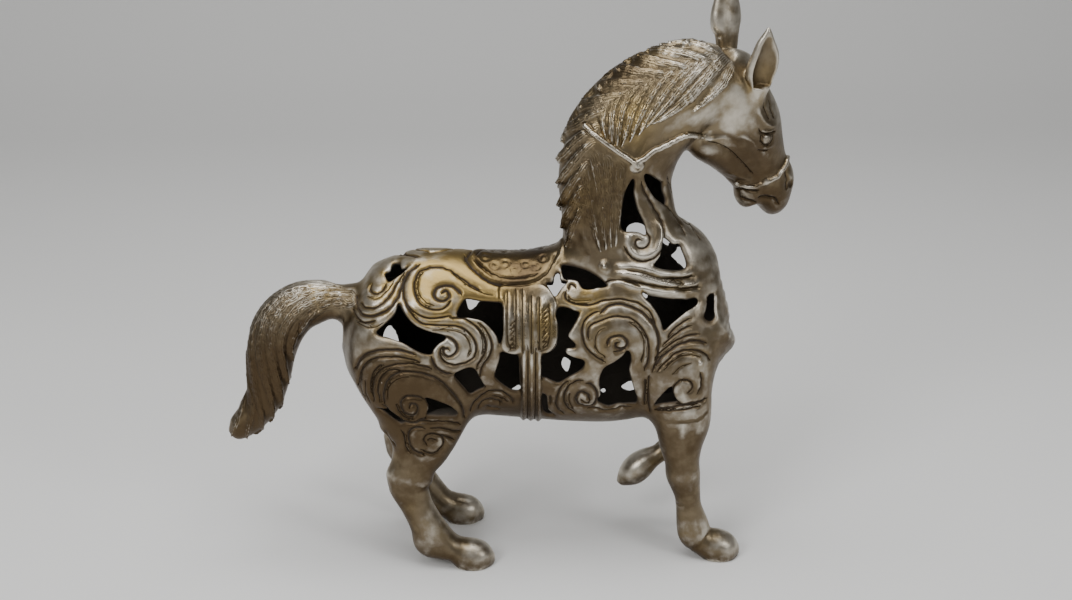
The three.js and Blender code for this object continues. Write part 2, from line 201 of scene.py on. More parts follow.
class Sweep:
    """An egg-shaped profile carried along a smooth path.

    A station is [x, y, z, half width across, half depth on the plus side, on the minus side].
    The plus side is the front of a leg, the top of the trunk, the crest of the neck.
    """

    def __init__(self, stations: list[list[float]], turns: tuple[float, float] = (0.0, 0.0)) -> None:
        """Sample the path and its frames.

        Args:
            stations: The profile's place and size, from one end to the other.
            turns: Turn of the across axis about the vertical at the ends, in degrees.
        """
        rows = np.asarray(stations, float)
        self.count = (len(rows) - 1) * 10 + 1
        table = through(rows, np.linspace(0, len(rows) - 1, self.count))
        self.centre, self.size = table[:, :3], np.maximum(table[:, 3:], 0.4)
        self.along = unit(np.gradient(self.centre, axis=0))
        turn = np.radians(np.linspace(turns[0], turns[1], self.count))
        across = np.stack([np.sin(turn), -np.cos(turn), 0 * turn], axis=1)
        across -= self.along * (across * self.along).sum(1, keepdims=True)
        self.across = unit(across)
        self.depth = np.cross(self.across, self.along)
        self.spacing = np.linalg.norm(np.gradient(self.centre, axis=0), axis=1)

    def locate(self, points: np.ndarray) -> tuple[np.ndarray, np.ndarray, np.ndarray, np.ndarray]:
        """Find the nearest place on the path.

        Args:
            points: Rows of x, y, z.

        Returns:
            Place along the path in samples, offset across, offset in depth and offset
            along the path past its place.
        """
        nearest = np.empty(len(points), int)
        centre = self.centre.astype(np.float32)
        for start in range(0, len(points), 20000):
            part = points[start:start + 20000].astype(np.float32)
            apart = (centre**2).sum(1)[None] - 2.0 * part @ centre.T
            nearest[start:start + 20000] = apart.argmin(1)
        step = ((points - self.centre[nearest]) * self.along[nearest]).sum(1) / self.spacing[nearest]
        place = np.clip(nearest + np.clip(step, -1, 1), 0, self.count - 1)
        relative = points - self.at(self.centre, place)
        return (
            place,
            (relative * self.at(self.across, place)).sum(1),
            (relative * self.at(self.depth, place)).sum(1),
            (relative * self.at(self.along, place)).sum(1),
        )

    def at(self, table: np.ndarray, place: np.ndarray) -> np.ndarray:
        """Values of a table between its samples, weighed along a straight line."""
        low = np.clip(place.astype(int), 0, self.count - 2)
        part = (place - low)[:, None]
        return table[low] * (1 - part) + table[low + 1] * part

    def distance(self, points: np.ndarray, grow: float = 0.0) -> np.ndarray:
        """Signed distance to the skin: r(r - 1) over the slope of r, r the scaled radius.

        Args:
            points: Rows of x, y, z.
            grow: Millimetres added to the profile all round.

        Returns:
            Negative inside, one value for each row.
        """
        place, across, deep, past = self.locate(points)
        size = np.maximum(self.at(self.size, place) + grow, 0.4)
        wide, tall = size[:, 0], np.where(deep > 0, size[:, 1], size[:, 2])
        radius = np.sqrt((across / wide) ** 2 + (deep / tall) ** 2)
        slope = np.sqrt((across / wide**2) ** 2 + (deep / tall**2) ** 2)
        skin = radius * (radius - 1) / np.maximum(slope, TINY)
        skin = np.where(slope > TINY, skin, -np.minimum(wide, tall))
        beyond = np.where(place <= 0, -past, np.where(place >= self.count - 1, past, -1.0))
        outside = np.hypot(np.maximum(skin, 0), np.maximum(beyond, 0))
        return np.where(beyond > 0, np.maximum(outside, beyond), skin)

    def unrolled(self, points: np.ndarray) -> tuple[np.ndarray, np.ndarray, np.ndarray]:
        """Length along the path, angle round it (0 on the right flank, a quarter turn on the
        plus side) and radius."""
        place, across, deep, past = self.locate(points)
        length = self.at(path_length(self.centre)[:, None], place)[:, 0] + past
        return length, np.arctan2(deep, across), np.hypot(across, deep)


@dataclass
class Lattice:
    """A regular grid of points."""

    low: np.ndarray
    pitch: float
    shape: tuple[int, int, int]

    @classmethod
    def over(cls, low: list[float], high: list[float], pitch: float) -> "Lattice":
        """The lattice that covers a box."""
        low_corner = np.asarray(low, float)
        shape = np.ceil((np.asarray(high, float) - low_corner) / pitch).astype(int) + 1
        return cls(low_corner, pitch, tuple(int(n) for n in shape))

    def axis(self, which: int) -> np.ndarray:
        """Places of the grid planes along one axis."""
        return self.low[which] + self.pitch * np.arange(self.shape[which])

    def window(self, low: np.ndarray, high: np.ndarray) -> tuple[slice, slice, slice]:
        """Index ranges of the grid inside a box."""
        first = np.clip(np.floor((low - self.low) / self.pitch).astype(int), 0, np.array(self.shape) - 1)
        last = np.clip(np.ceil((high - self.low) / self.pitch).astype(int) + 1, 1, self.shape)
        return tuple(slice(int(a), int(b)) for a, b in zip(first, last))

    def points(self, window: tuple[slice, slice, slice]) -> np.ndarray:
        """The points of a window, one row each, in the order of the grid."""
        sides = [self.axis(k)[window[k]] for k in range(3)]
        return np.stack(np.meshgrid(*sides, indexing="ij"), axis=-1).reshape(-1, 3)

    def sample(self, values: np.ndarray, points: np.ndarray) -> np.ndarray:
        """Values between the grid points, weighed in all three directions."""
        where = np.clip((points - self.low) / self.pitch, 0, np.array(self.shape) - 1.001)
        low = where.astype(int)
        part = where - low
        total = np.zeros(len(points))
        for corner in np.ndindex(2, 2, 2):
            weight = np.prod(np.where(np.array(corner) == 1, part, 1 - part), axis=1)
            total += weight * values[tuple((low + np.array(corner)).T)]
        return total


def finer(values: np.ndarray, coarse: Lattice, fine: Lattice) -> np.ndarray:
    """Carry a field to a finer lattice with cubic B-spline weights, one axis at a time."""
    weights = []
    for axis in range(3):
        where = (fine.axis(axis) - coarse.low[axis]) / coarse.pitch
        apart = np.abs(where[:, None] - np.arange(coarse.shape[axis])[None])
        weight = np.where(apart < 1, 2 / 3 - apart**2 + apart**3 / 2, np.maximum(2 - apart, 0) ** 3 / 6)
        weights.append((weight / weight.sum(1, keepdims=True)).astype(np.float32))
    result = values.astype(np.float32).reshape(coarse.shape[0], -1)
    result = (weights[0] @ result).reshape(fine.shape[0], coarse.shape[1], coarse.shape[2])
    result = np.matmul(weights[1], result).reshape(-1, coarse.shape[2])
    return (result @ weights[2].T).reshape(fine.shape)


# Profiles of the limbs. The left hind leg stands five millimetres further back.
TRUNK = [
    [-128, 0, 169, 12, 23, 18], [-119, 0, 167, 27, 41, 37], [-104, 0, 165, 35, 50.5, 48],
    [-84, 0, 163, 40, 57.5, 54], [-60, 0, 163, 41, 57.5, 59], [-35, 0, 162, 40, 56, 60],
    [-5, 0, 161, 41, 57, 62], [25, 0, 161, 42, 63, 65], [55, 0, 162, 42, 66, 66],
    [85, 0, 167, 40, 62, 60], [108, 0, 174, 32, 51, 39], [120, 0, 184.5, 23, 37, 29],
    [127, 0, 187, 12, 26.5, 18],
]
HIND = [
    [-88, 22, 190, 14, 22, 26], [-90, 23, 165, 20, 34, 33.5], [-88, 25, 140, 20, 38, 31],
    [-80, 27, 118, 18, 32, 29.5], [-78, 28, 102, 15.5, 27, 28.5], [-80, 29, 88, 13, 20.5, 20.5],
    [-84, 30, 76, 11.5, 15.2, 16.6], [-86, 31, 67, 11, 14.2, 18.4], [-87, 31, 59, 10, 12.5, 15],
    [-83, 32, 47, 9, 10.5, 12], [-76, 33, 34, 9.5, 10, 13.5], [-69, 33, 22, 10, 10.5, 18.2],
    [-60, 33, 13, 9.5, 9, 11],
]
FORE = [
    [92, 14, 174, 10, 14, 18], [99, 22, 145, 18, 18.5, 27], [100, 25, 122, 17, 18.8, 24],
    [100, 26, 104, 15, 18.5, 20.5], [99, 27, 88, 12.5, 15, 15.5], [100, 27, 74, 11.5, 12, 12],
    [101, 27, 64, 11.5, 12, 12], [104, 27, 51, 9, 9.5, 9.5], [106, 27, 40, 8.5, 8.5, 9.5],
    [109, 27, 27, 9.5, 10.5, 11.8], [112, 27, 17, 10, 11, 12.3], [119, 27, 10, 9, 9, 8],
]
RAISED = [
    [92, 14, 174, 10, 14, 18], [99, 22, 145, 18, 18.5, 27], [101, 25, 122, 17, 20, 22],
    [104, 26, 104, 14.5, 18, 18], [108, 27, 90, 11.5, 13, 14], [110, 27, 78, 11, 11.5, 12],
    [105, 27, 66, 9.5, 9.5, 9.5], [97, 27, 58, 7.5, 6.5, 9.5], [88, 27, 52, 7, 6, 7],
    [80, 27, 47, 6, 6, 6],
]
HOOF_HIND = [
    [-62, 33, 13, 7, 6, 7], [-56, 33, 10, 10.5, 10, 9], [-48, 33, 7.5, 12, 12, 15],
    [-39, 33, 6.5, 11, 10.5, 18], [-33, 33, 5.5, 6.5, 6, 12], [-30, 33, 5, 2, 2, 6],
]
HOOF_FORE = [
    [111, 27, 12, 6, 6, 7], [116, 27, 10, 10, 10, 9], [124, 27, 8, 12, 12.5, 14],
    [133, 27, 6.5, 11.5, 11, 18], [139, 27, 5.5, 7.5, 7, 12], [142, 27, 5, 2.5, 2.5, 6],
]
HOOF_RAISED = [
    [91, 27, 54, 6, 5, 5], [83, 27, 50.5, 9, 9, 8], [75, 27, 44.5, 11, 11.5, 9.5],
    [68, 27, 37.5, 9.5, 10, 8], [61.5, 27, 30.5, 3, 3, 3],
]
NECK = [
    [82, 0, 174, 27, 40, 42], [73, 0, 202, 32, 50, 50], [61, 0, 228, 29, 44, 38],
    [55, 0, 250, 26, 38.5, 37.5], [55, 1, 272, 25, 40.7, 36], [62, 1, 292, 24, 41.5, 35],
    [76, 2, 310, 23, 40, 32], [92, 3, 324, 22, 34.7, 30], [108, 6, 332, 20, 28, 26],
    [122, 10, 334, 14, 22, 18],
]
TAIL = [
    [-114, 0, 184, 9, 15, 12], [-132, 0, 185, 9.5, 12, 11], [-147, 0, 185, 11, 15, 15],
    [-162, 0, 179, 13, 16, 17.5], [-173, 0, 167, 14, 16.5, 18.5], [-180, 0, 150, 14, 16, 17.5],
    [-183, 0, 132, 13, 14.5, 15.5], [-187, 0, 115, 12, 12, 13.5], [-196, 0, 101, 10, 10.5, 12],
    [-206, 0, 91, 6.5, 8, 10], [-212, 0, 87, 3, 5, 5],
]
# In the head's own plane: [forward, up, half width, half depth to the forehead, to the jaw].
FACE = [
    [14, 13, 12, 17, 12], [23, 2, 18, 24, 22], [34, -14, 20, 23, 29], [44, -30, 20, 22.8, 29],
    [52, -46, 17, 19.8, 23], [59, -61, 14.5, 18, 16], [65, -74, 14, 20, 14],
    [68, -84, 13.5, 18, 12], [71, -92, 12, 13, 9], [73, -98, 7, 8, 6],
]
JAW = [
    [10, -28, 10, 14, 19], [18, -38, 14, 14, 18], [28, -50, 13, 14, 13],
    [38, -62, 11, 12, 9.5], [47, -73, 10, 10, 8.5], [51, -82, 10, 9, 9.8], [54, -89, 7, 7, 8],
]
# [forward, up, out, half width, half depth]; the left ear stands straighter.
EAR = [
    [36, -14, 12, 6, 6], [37, 4, 18, 8, 6], [36, 14, 20, 11, 6.5], [36, 24, 22, 10.5, 5.5],
    [35, 34, 23, 7, 4], [35, 41, 24, 3.2, 2.4], [34.5, 45.5, 24.5, 0.7, 0.7],
]


def on_right(stations: list[list[float]]) -> list[list[float]]:
    """A left limb's stations carried to the horse's right side."""
    return [[x, -y, *rest] for x, y, *rest in stations]


class Skin:
    """The joined outer skin of all limbs, as a coarse field, and ways to place things on it."""

    def __init__(self) -> None:
        """Carry every profile and join the fields."""
        self.lattice = Lattice.over(*COARSE_BOX, COARSE)
        self.eye = Eyepoint()
        self.trunk = Sweep(TRUNK)
        self.neck = Sweep(NECK, (0, 20))
        self.tail = Sweep(TAIL)
        forward = np.array([math.cos(HEAD_TURN), math.sin(HEAD_TURN), 0])
        level = np.array([math.sin(HEAD_TURN), -math.cos(HEAD_TURN), 0])
        self.head_axes = np.stack([
            forward,
            np.array([0, 0, 1]) * math.cos(HEAD_ROLL) + level * math.sin(HEAD_ROLL),
            level * math.cos(HEAD_ROLL) - np.array([0, 0, 1]) * math.sin(HEAD_ROLL),
        ])
        # Each limb with the fillet that joins it to those before it.
        limbs = [
            (self.trunk, 1.0),
            (Sweep([[x - 5, *rest] for x, *rest in HIND]), 8.0),
            (Sweep(on_right(HIND)), 22.0),
            (Sweep(on_right(FORE)), 16.0),
            (Sweep(RAISED), 8.0),
            (self.neck, 9.0),
            (Sweep(self.in_head(FACE), (22, 22)), 8.0),
            (Sweep(self.in_head(JAW), (22, 22)), 5.0),
            (self.tail, 13.0),
            (Sweep(on_right(HOOF_HIND)), 6.0),
            (Sweep([[x - 7, y + 1, *rest] for x, y, *rest in HOOF_HIND]), 6.0),
            (Sweep(on_right(HOOF_FORE)), 2.5),
            (Sweep(HOOF_RAISED), 2.5),
        ]
        self.field = self.joined(limbs)
        slope = np.sqrt(sum(g * g for g in np.gradient(self.field, COARSE)))
        self.field = self.field / np.clip(slope, *SLOPES)
        hollows = [(Sweep(TRUNK[1:-1]), 1.0), (Sweep(NECK[:6], (0, 10)), 14.0)]
        for leg in (HIND, FORE, RAISED, on_right(HIND), on_right(FORE)):
            hollows.append((Sweep(leg[1:4]), 20.0))
        self.chamber = self.joined(hollows)

    def joined(self, limbs: list[tuple[Sweep, float]]) -> np.ndarray:
        """Join the fields of some limbs, each with its own fillet."""
        field = np.full(self.lattice.shape, FAR_PLACE)
        for limb, fillet in limbs:
            reach = limb.size.max() + FIELD_REACH
            window = self.lattice.window(limb.centre.min(0) - reach, limb.centre.max(0) + reach)
            distance = limb.distance(self.lattice.points(window))
            field[window] = blend_low(field[window], distance.reshape(field[window].shape), fillet)
        return field

    def head_point(self, rows: np.ndarray) -> np.ndarray:
        """Places in the horse's frame of rows of forward, up and right in the head's frame."""
        return POLL + np.asarray(rows, float) @ self.head_axes

    def in_head(self, rows: list[list[float]]) -> list[list[float]]:
        """Stations of the head's own plane carried to the horse's frame."""
        return [[*self.head_point(np.array([row[0], row[1], 0.0])), *row[2:]] for row in rows]

    def value(self, points: np.ndarray) -> np.ndarray:
        """Distance from the skin at any points."""
        return self.lattice.sample(self.field, points)

    def outward(self, points: np.ndarray) -> np.ndarray:
        """Unit directions away from the skin at any points."""
        steps = np.eye(3) * 1.5
        return unit(np.stack([self.value(points + s) - self.value(points - s) for s in steps], axis=1))

    def settle(self, points: np.ndarray, level: float = 0.0) -> np.ndarray:
        """Slide points along the slope of the field until they lie at a level over the skin."""
        for _ in range(4):
            points = points + self.outward(points) * (level - self.value(points))[:, None]
        return points

    def sight(self, dots: list[tuple[float, float]]) -> tuple[np.ndarray, np.ndarray]:
        """Places along the sight lines through picture points, and the skin's distance there."""
        rays = self.eye.rays(np.asarray(dots, float))
        places = self.eye.place() + rays[:, None] * SIGHT[None, :, None]
        return places, self.value(places.reshape(-1, 3)).reshape(places.shape[:2])

    def seen(self, dots: list[tuple[float, float]], level: float = 0.0) -> np.ndarray:
        """The places on the skin that lie behind points of the picture.

        Args:
            dots: Across and down in the frame.
            level: Height over the skin to stop at.

        Returns:
            The first crossing of each ray, or where a ray misses, its nearest approach.
        """
        places, values = self.sight(dots)
        hit = values - level < 0
        first = np.where(hit.any(1), hit.argmax(1), values.argmin(1))
        return self.settle(places[np.arange(len(places)), first], level)

    def seen_through(self, dots: list[tuple[float, float]]) -> np.ndarray:
        """The places where sight lines through the skin come out on the far side."""
        places, values = self.sight(dots)
        within = values < 0
        entry = within.argmax(1)
        left = ~within & (np.arange(len(SIGHT))[None] > entry[:, None])
        return self.settle(places[np.arange(len(places)), left.argmax(1)])

    def on_ring(self, limb: Sweep, rows: np.ndarray) -> np.ndarray:
        """Places on the skin round a limb, from rows of part of its length and degrees."""
        place = rows[:, 0] * (limb.count - 1)
        size, angle = limb.at(limb.size, place), np.radians(rows[:, 1])
        reach = np.where(np.sin(angle) > 0, size[:, 1], size[:, 2])
        points = limb.at(limb.centre, place)
        points = points + limb.at(limb.across, place) * (size[:, 0] * np.cos(angle))[:, None]
        points = points + limb.at(limb.depth, place) * (reach * np.sin(angle))[:, None]
        return self.settle(points)

    def other_side(self, points: np.ndarray) -> np.ndarray:
        """The same places on the horse's other side, in the frame of trunk, neck or head."""
        mirrored = points * np.array([1, -1, 1])
        local = (points - POLL) @ self.head_axes.T
        head = POLL + (local * np.array([1, 1, -1])) @ self.head_axes
        place, across, _, _ = self.neck.locate(points)
        neck = points - 2 * self.neck.at(self.neck.across, place) * across[:, None]
        share = smooth_step(points[:, 2], 195, 225)[:, None]
        mirrored = mirrored * (1 - share) + neck * share
        share = smooth_step(local[:, 0], 2, 16)[:, None] * smooth_step(points[:, 2], 215, 235)[:, None]
        return mirrored * (1 - share) + head * share


class Side(Enum):
    """Which sides of the horse a piece of chasing is on."""

    RIGHT = (True, False)
    BOTH = (True, True)


class Cut(Enum):
    """How a line is chased: half its width, its height (cut in where negative), whether the
    bands beside it are rounded off towards it, and whether soot lies in it as a thin line."""

    DEEP = (1.15, -1.2, True, True)
    PLAIN = (0.85, -0.8, True, True)
    FINE = (0.7, -0.5, False, True)
    SOFT = (0.9, -0.65, False, False)
    FOLD = (2.6, -0.7, False, False)
    RIDGE = (1.1, 0.8, False, False)
    ROLL = (2.0, 1.6, False, False)
    CORD = (2.6, 2.4, False, False)


@dataclass(frozen=True)
class Line:
    """A chased line. Its dots are picture points on the right side of the horse."""

    dots: list[tuple[float, float]]
    cut: Cut = Cut.PLAIN


@dataclass(frozen=True)
class Lock:
    """A lock of hair: a flat bulge along a path, with strands, ending in a point.

    Its lean makes one edge stand higher, so that it lies over its neighbour. One that ends over
    the crest stops short of it on the other side.
    """

    dots: list[tuple[float, float]]
    half_width: float
    thickness: float = 2.2
    strands: int = 4
    lean: float = 0.45
    over_crest: bool = False


@dataclass(frozen=True)
class Rope:
    """A moulded round cord along picture points."""

    dots: list[tuple[float, float]]
    radius: float = 1.8
    lift: float = 1.5


@dataclass(frozen=True)
class Patch:
    """A soft patch of gilt and of polish_and_highlight round a picture point, on both sides: rubbed bright
    metal, and painted highlight.

    Below nothing it makes the place browner and darker.
    """

    dot: tuple[float, float]
    radius: float
    gold: float = 0.0
    polish_and_highlight: float = 0.0


@dataclass(frozen=True)
class Boss:
    """A dome, or a dent where its height is negative, round one picture point."""

    dot: tuple[float, float]
    radius: float
    height: float
    side: Side = Side.BOTH


# Openings on the right side, as picture points round each rim.
OPENINGS_SEEN = {
    "rump_top": [
        (386, 272), (391, 269), (394, 263), (400, 262), (402, 267), (408, 267), (401, 273), (396, 277),
        (390, 281), (387, 277)],
    "haunch": [
        (399, 303), (404, 311), (410, 320), (418, 327), (430, 332), (441, 335), (445, 339), (438, 344),
        (433, 350), (431, 355), (423, 354), (414, 350), (405, 344), (397, 341), (388, 338), (380, 336),
        (377, 332), (384, 325), (391, 318), (396, 311)],
    "saddle_back": [
        (458, 310), (463, 301), (467, 298), (480, 300), (492, 301), (502, 303), (503, 318), (503, 334),
        (500, 344), (497, 336), (492, 329), (486, 323), (479, 319), (468, 317), (458, 316)],
    "belly_rear": [
        (454, 376), (461, 371), (470, 369), (475, 371), (478, 377), (482, 384), (484, 388), (477, 392),
        (470, 396), (465, 391), (460, 385)],
    "gaskin": [
        (425, 400), (431, 401), (440, 404), (449, 408), (456, 414), (456, 419), (444, 419), (432, 418),
        (427, 417), (429, 409)],
    "thigh_slot": [
        (378, 410), (384, 410), (390, 414), (396, 418), (403, 422), (405, 424), (401, 426), (395, 423),
        (389, 418), (384, 414)],
    "girth_behind": [
        (501, 353), (507, 354), (513, 355), (518, 356), (519, 368), (519.5, 382), (520, 391), (512, 392),
        (503, 386), (497, 381), (495, 376), (498, 366), (500, 359)],
    "girth_top": [
        (547, 282), (553, 280.5), (556, 272.5), (559.5, 272), (560.5, 278.5), (567, 280.5), (561, 287),
        (556.5, 294), (554, 295), (550.5, 289)],
    "wither": [
        (562, 264), (569, 263), (579, 265), (590, 269), (600, 276), (607, 284), (598, 286), (590, 288),
        (583, 287), (578, 280), (571, 278), (564, 277)],
    "flank": [
        (557, 309), (561, 306), (568, 307), (574, 310), (579, 312), (576, 320), (571, 329), (568, 335),
        (570, 339), (575, 344), (574, 348), (567, 349), (566, 354), (573, 358), (583, 361), (584, 366),
        (580, 372), (570, 377), (563, 382), (558, 384), (552, 382), (546, 379), (542, 377), (542, 366),
        (542, 356), (549, 353), (556, 347), (558, 336), (558, 324), (556, 316)],
    "girth_slot": [
        (542, 395), (546, 397), (547, 404), (548, 411), (554, 415), (549, 416), (544, 413), (542, 404)],
    "shoulder": [
        (627, 351), (630, 354), (631, 361), (629, 370), (631, 380), (634, 391), (637, 400), (636, 405),
        (627, 405), (618, 406), (609, 408), (602, 406), (598, 403), (601, 396), (600, 386), (601, 377),
        (605, 369), (612, 364), (619, 360), (624, 356)],
    "collar_low": [
        (642, 291), (648, 294), (657, 296), (670, 298), (685, 299), (694, 298), (696, 302), (694, 306),
        (686, 311), (677, 318), (669, 325), (664, 330), (661, 321), (657, 312), (651, 303), (645, 297)],
    "chest_slot": [
        (708, 296), (711, 294), (713, 299), (713, 311), (714, 318), (711, 322), (706, 321), (704, 317),
        (706, 309)],
    "elbow": [
        (656, 407), (660, 400), (667, 392), (672, 388), (673, 394), (675, 400), (678, 404), (671, 406),
        (663, 407)],
}
NECK_OPENINGS_SEEN = {
    "throat": [
        (645, 175), (651, 176), (658, 180), (664, 184), (665, 191), (667, 199), (667, 205), (662, 202),
        (656, 197), (651, 190), (647, 183)],
    "leaf": [
        (633, 180), (635, 184), (634, 192), (636, 202), (639, 211), (643, 219), (646, 227), (647, 235),
        (641, 233), (634, 232), (627, 232), (622, 230), (621, 222), (622, 210), (624, 198), (628, 188)],
    "volute": [
        (664, 238), (669, 240), (675, 244), (681, 244), (684, 250), (687, 257), (688, 265), (684, 269),
        (674, 270), (663, 269), (655, 266), (658, 261), (662, 254), (664, 246)],
}
# Openings on the left side, as picture points where sight lines come out through it.
OPENINGS_FAR = {
    "rump_bottom": [(404, 273), (416, 282), (426, 291), (405, 292), (390, 290), (393, 281)],
    "haunch": [(383, 343), (384, 332), (389, 325), (394, 329), (399, 341), (394, 348)],
    "saddle_back": [
        (461, 268), (482, 269), (501, 269), (499, 284), (490, 290), (480, 299), (474, 307), (469, 308),
        (466, 298), (461, 282)],
    "girth_behind": [(506, 309), (517, 309), (517, 343), (508, 346)],
    "belly_girth": [(511, 392), (515, 388.5), (521, 386), (522, 396), (513, 398)],
    "belly_rear": [(453, 332), (472, 334), (474, 348), (466, 358), (456, 352)],
    "wither": [(558, 247), (572, 244), (589, 247), (593, 253), (585, 257), (573, 257), (563, 253)],
    "flank": [
        (546, 282), (553, 281), (554, 269), (560, 269), (561, 279), (569, 281), (562, 290), (556, 299),
        (549, 291)],
    "flank_low": [(564, 358), (570, 363), (567, 374), (561, 366)],
    "shoulder": [(598, 322), (614, 306), (623, 318), (619, 338), (600, 341)],
    "belly_front": [(621, 390), (624, 385.5), (632, 382.5), (637, 390), (630, 394)],
    "belly_dot": [(600, 392), (604, 390), (606, 393), (603, 396)],
    "collar_low": [(632, 274), (652, 272), (668, 273), (663, 281), (650, 288), (645, 297), (641, 288)],
    "chest_slot": [(686, 272), (698, 276), (706, 294), (697, 292)],
    "elbow": [(669, 331), (672, 340), (664, 350), (650, 366), (658, 348)],
}
NECK_OPENINGS_FAR = {
    "throat": [(636, 138), (646, 152), (644, 172), (637, 162)],
    "leaf": [(618, 138), (620, 156), (613, 164), (604, 157)],
    "base": [(626, 227), (632, 222), (641, 221), (648, 226), (648, 236), (636, 238), (627, 235)],
    "slit": [(663, 236), (667, 236), (671, 242), (668, 245), (664, 241)],
    "volute": [
        (671, 254), (677, 250), (678, 245), (684, 245), (689, 256), (689, 268), (684, 267), (677, 260)],
}
# Places where one sees right through the horse.
SEEN_THROUGH = [
    [(682, 245), (685, 252), (687, 262), (686, 269), (678, 262), (671, 256)],
    [(663, 237), (668, 237), (671, 242), (666, 244)],
    [(512, 392), (521, 386), (521, 392)],
    [(640.5, 288.5), (646.5, 292.5), (643.5, 296.5)],
]
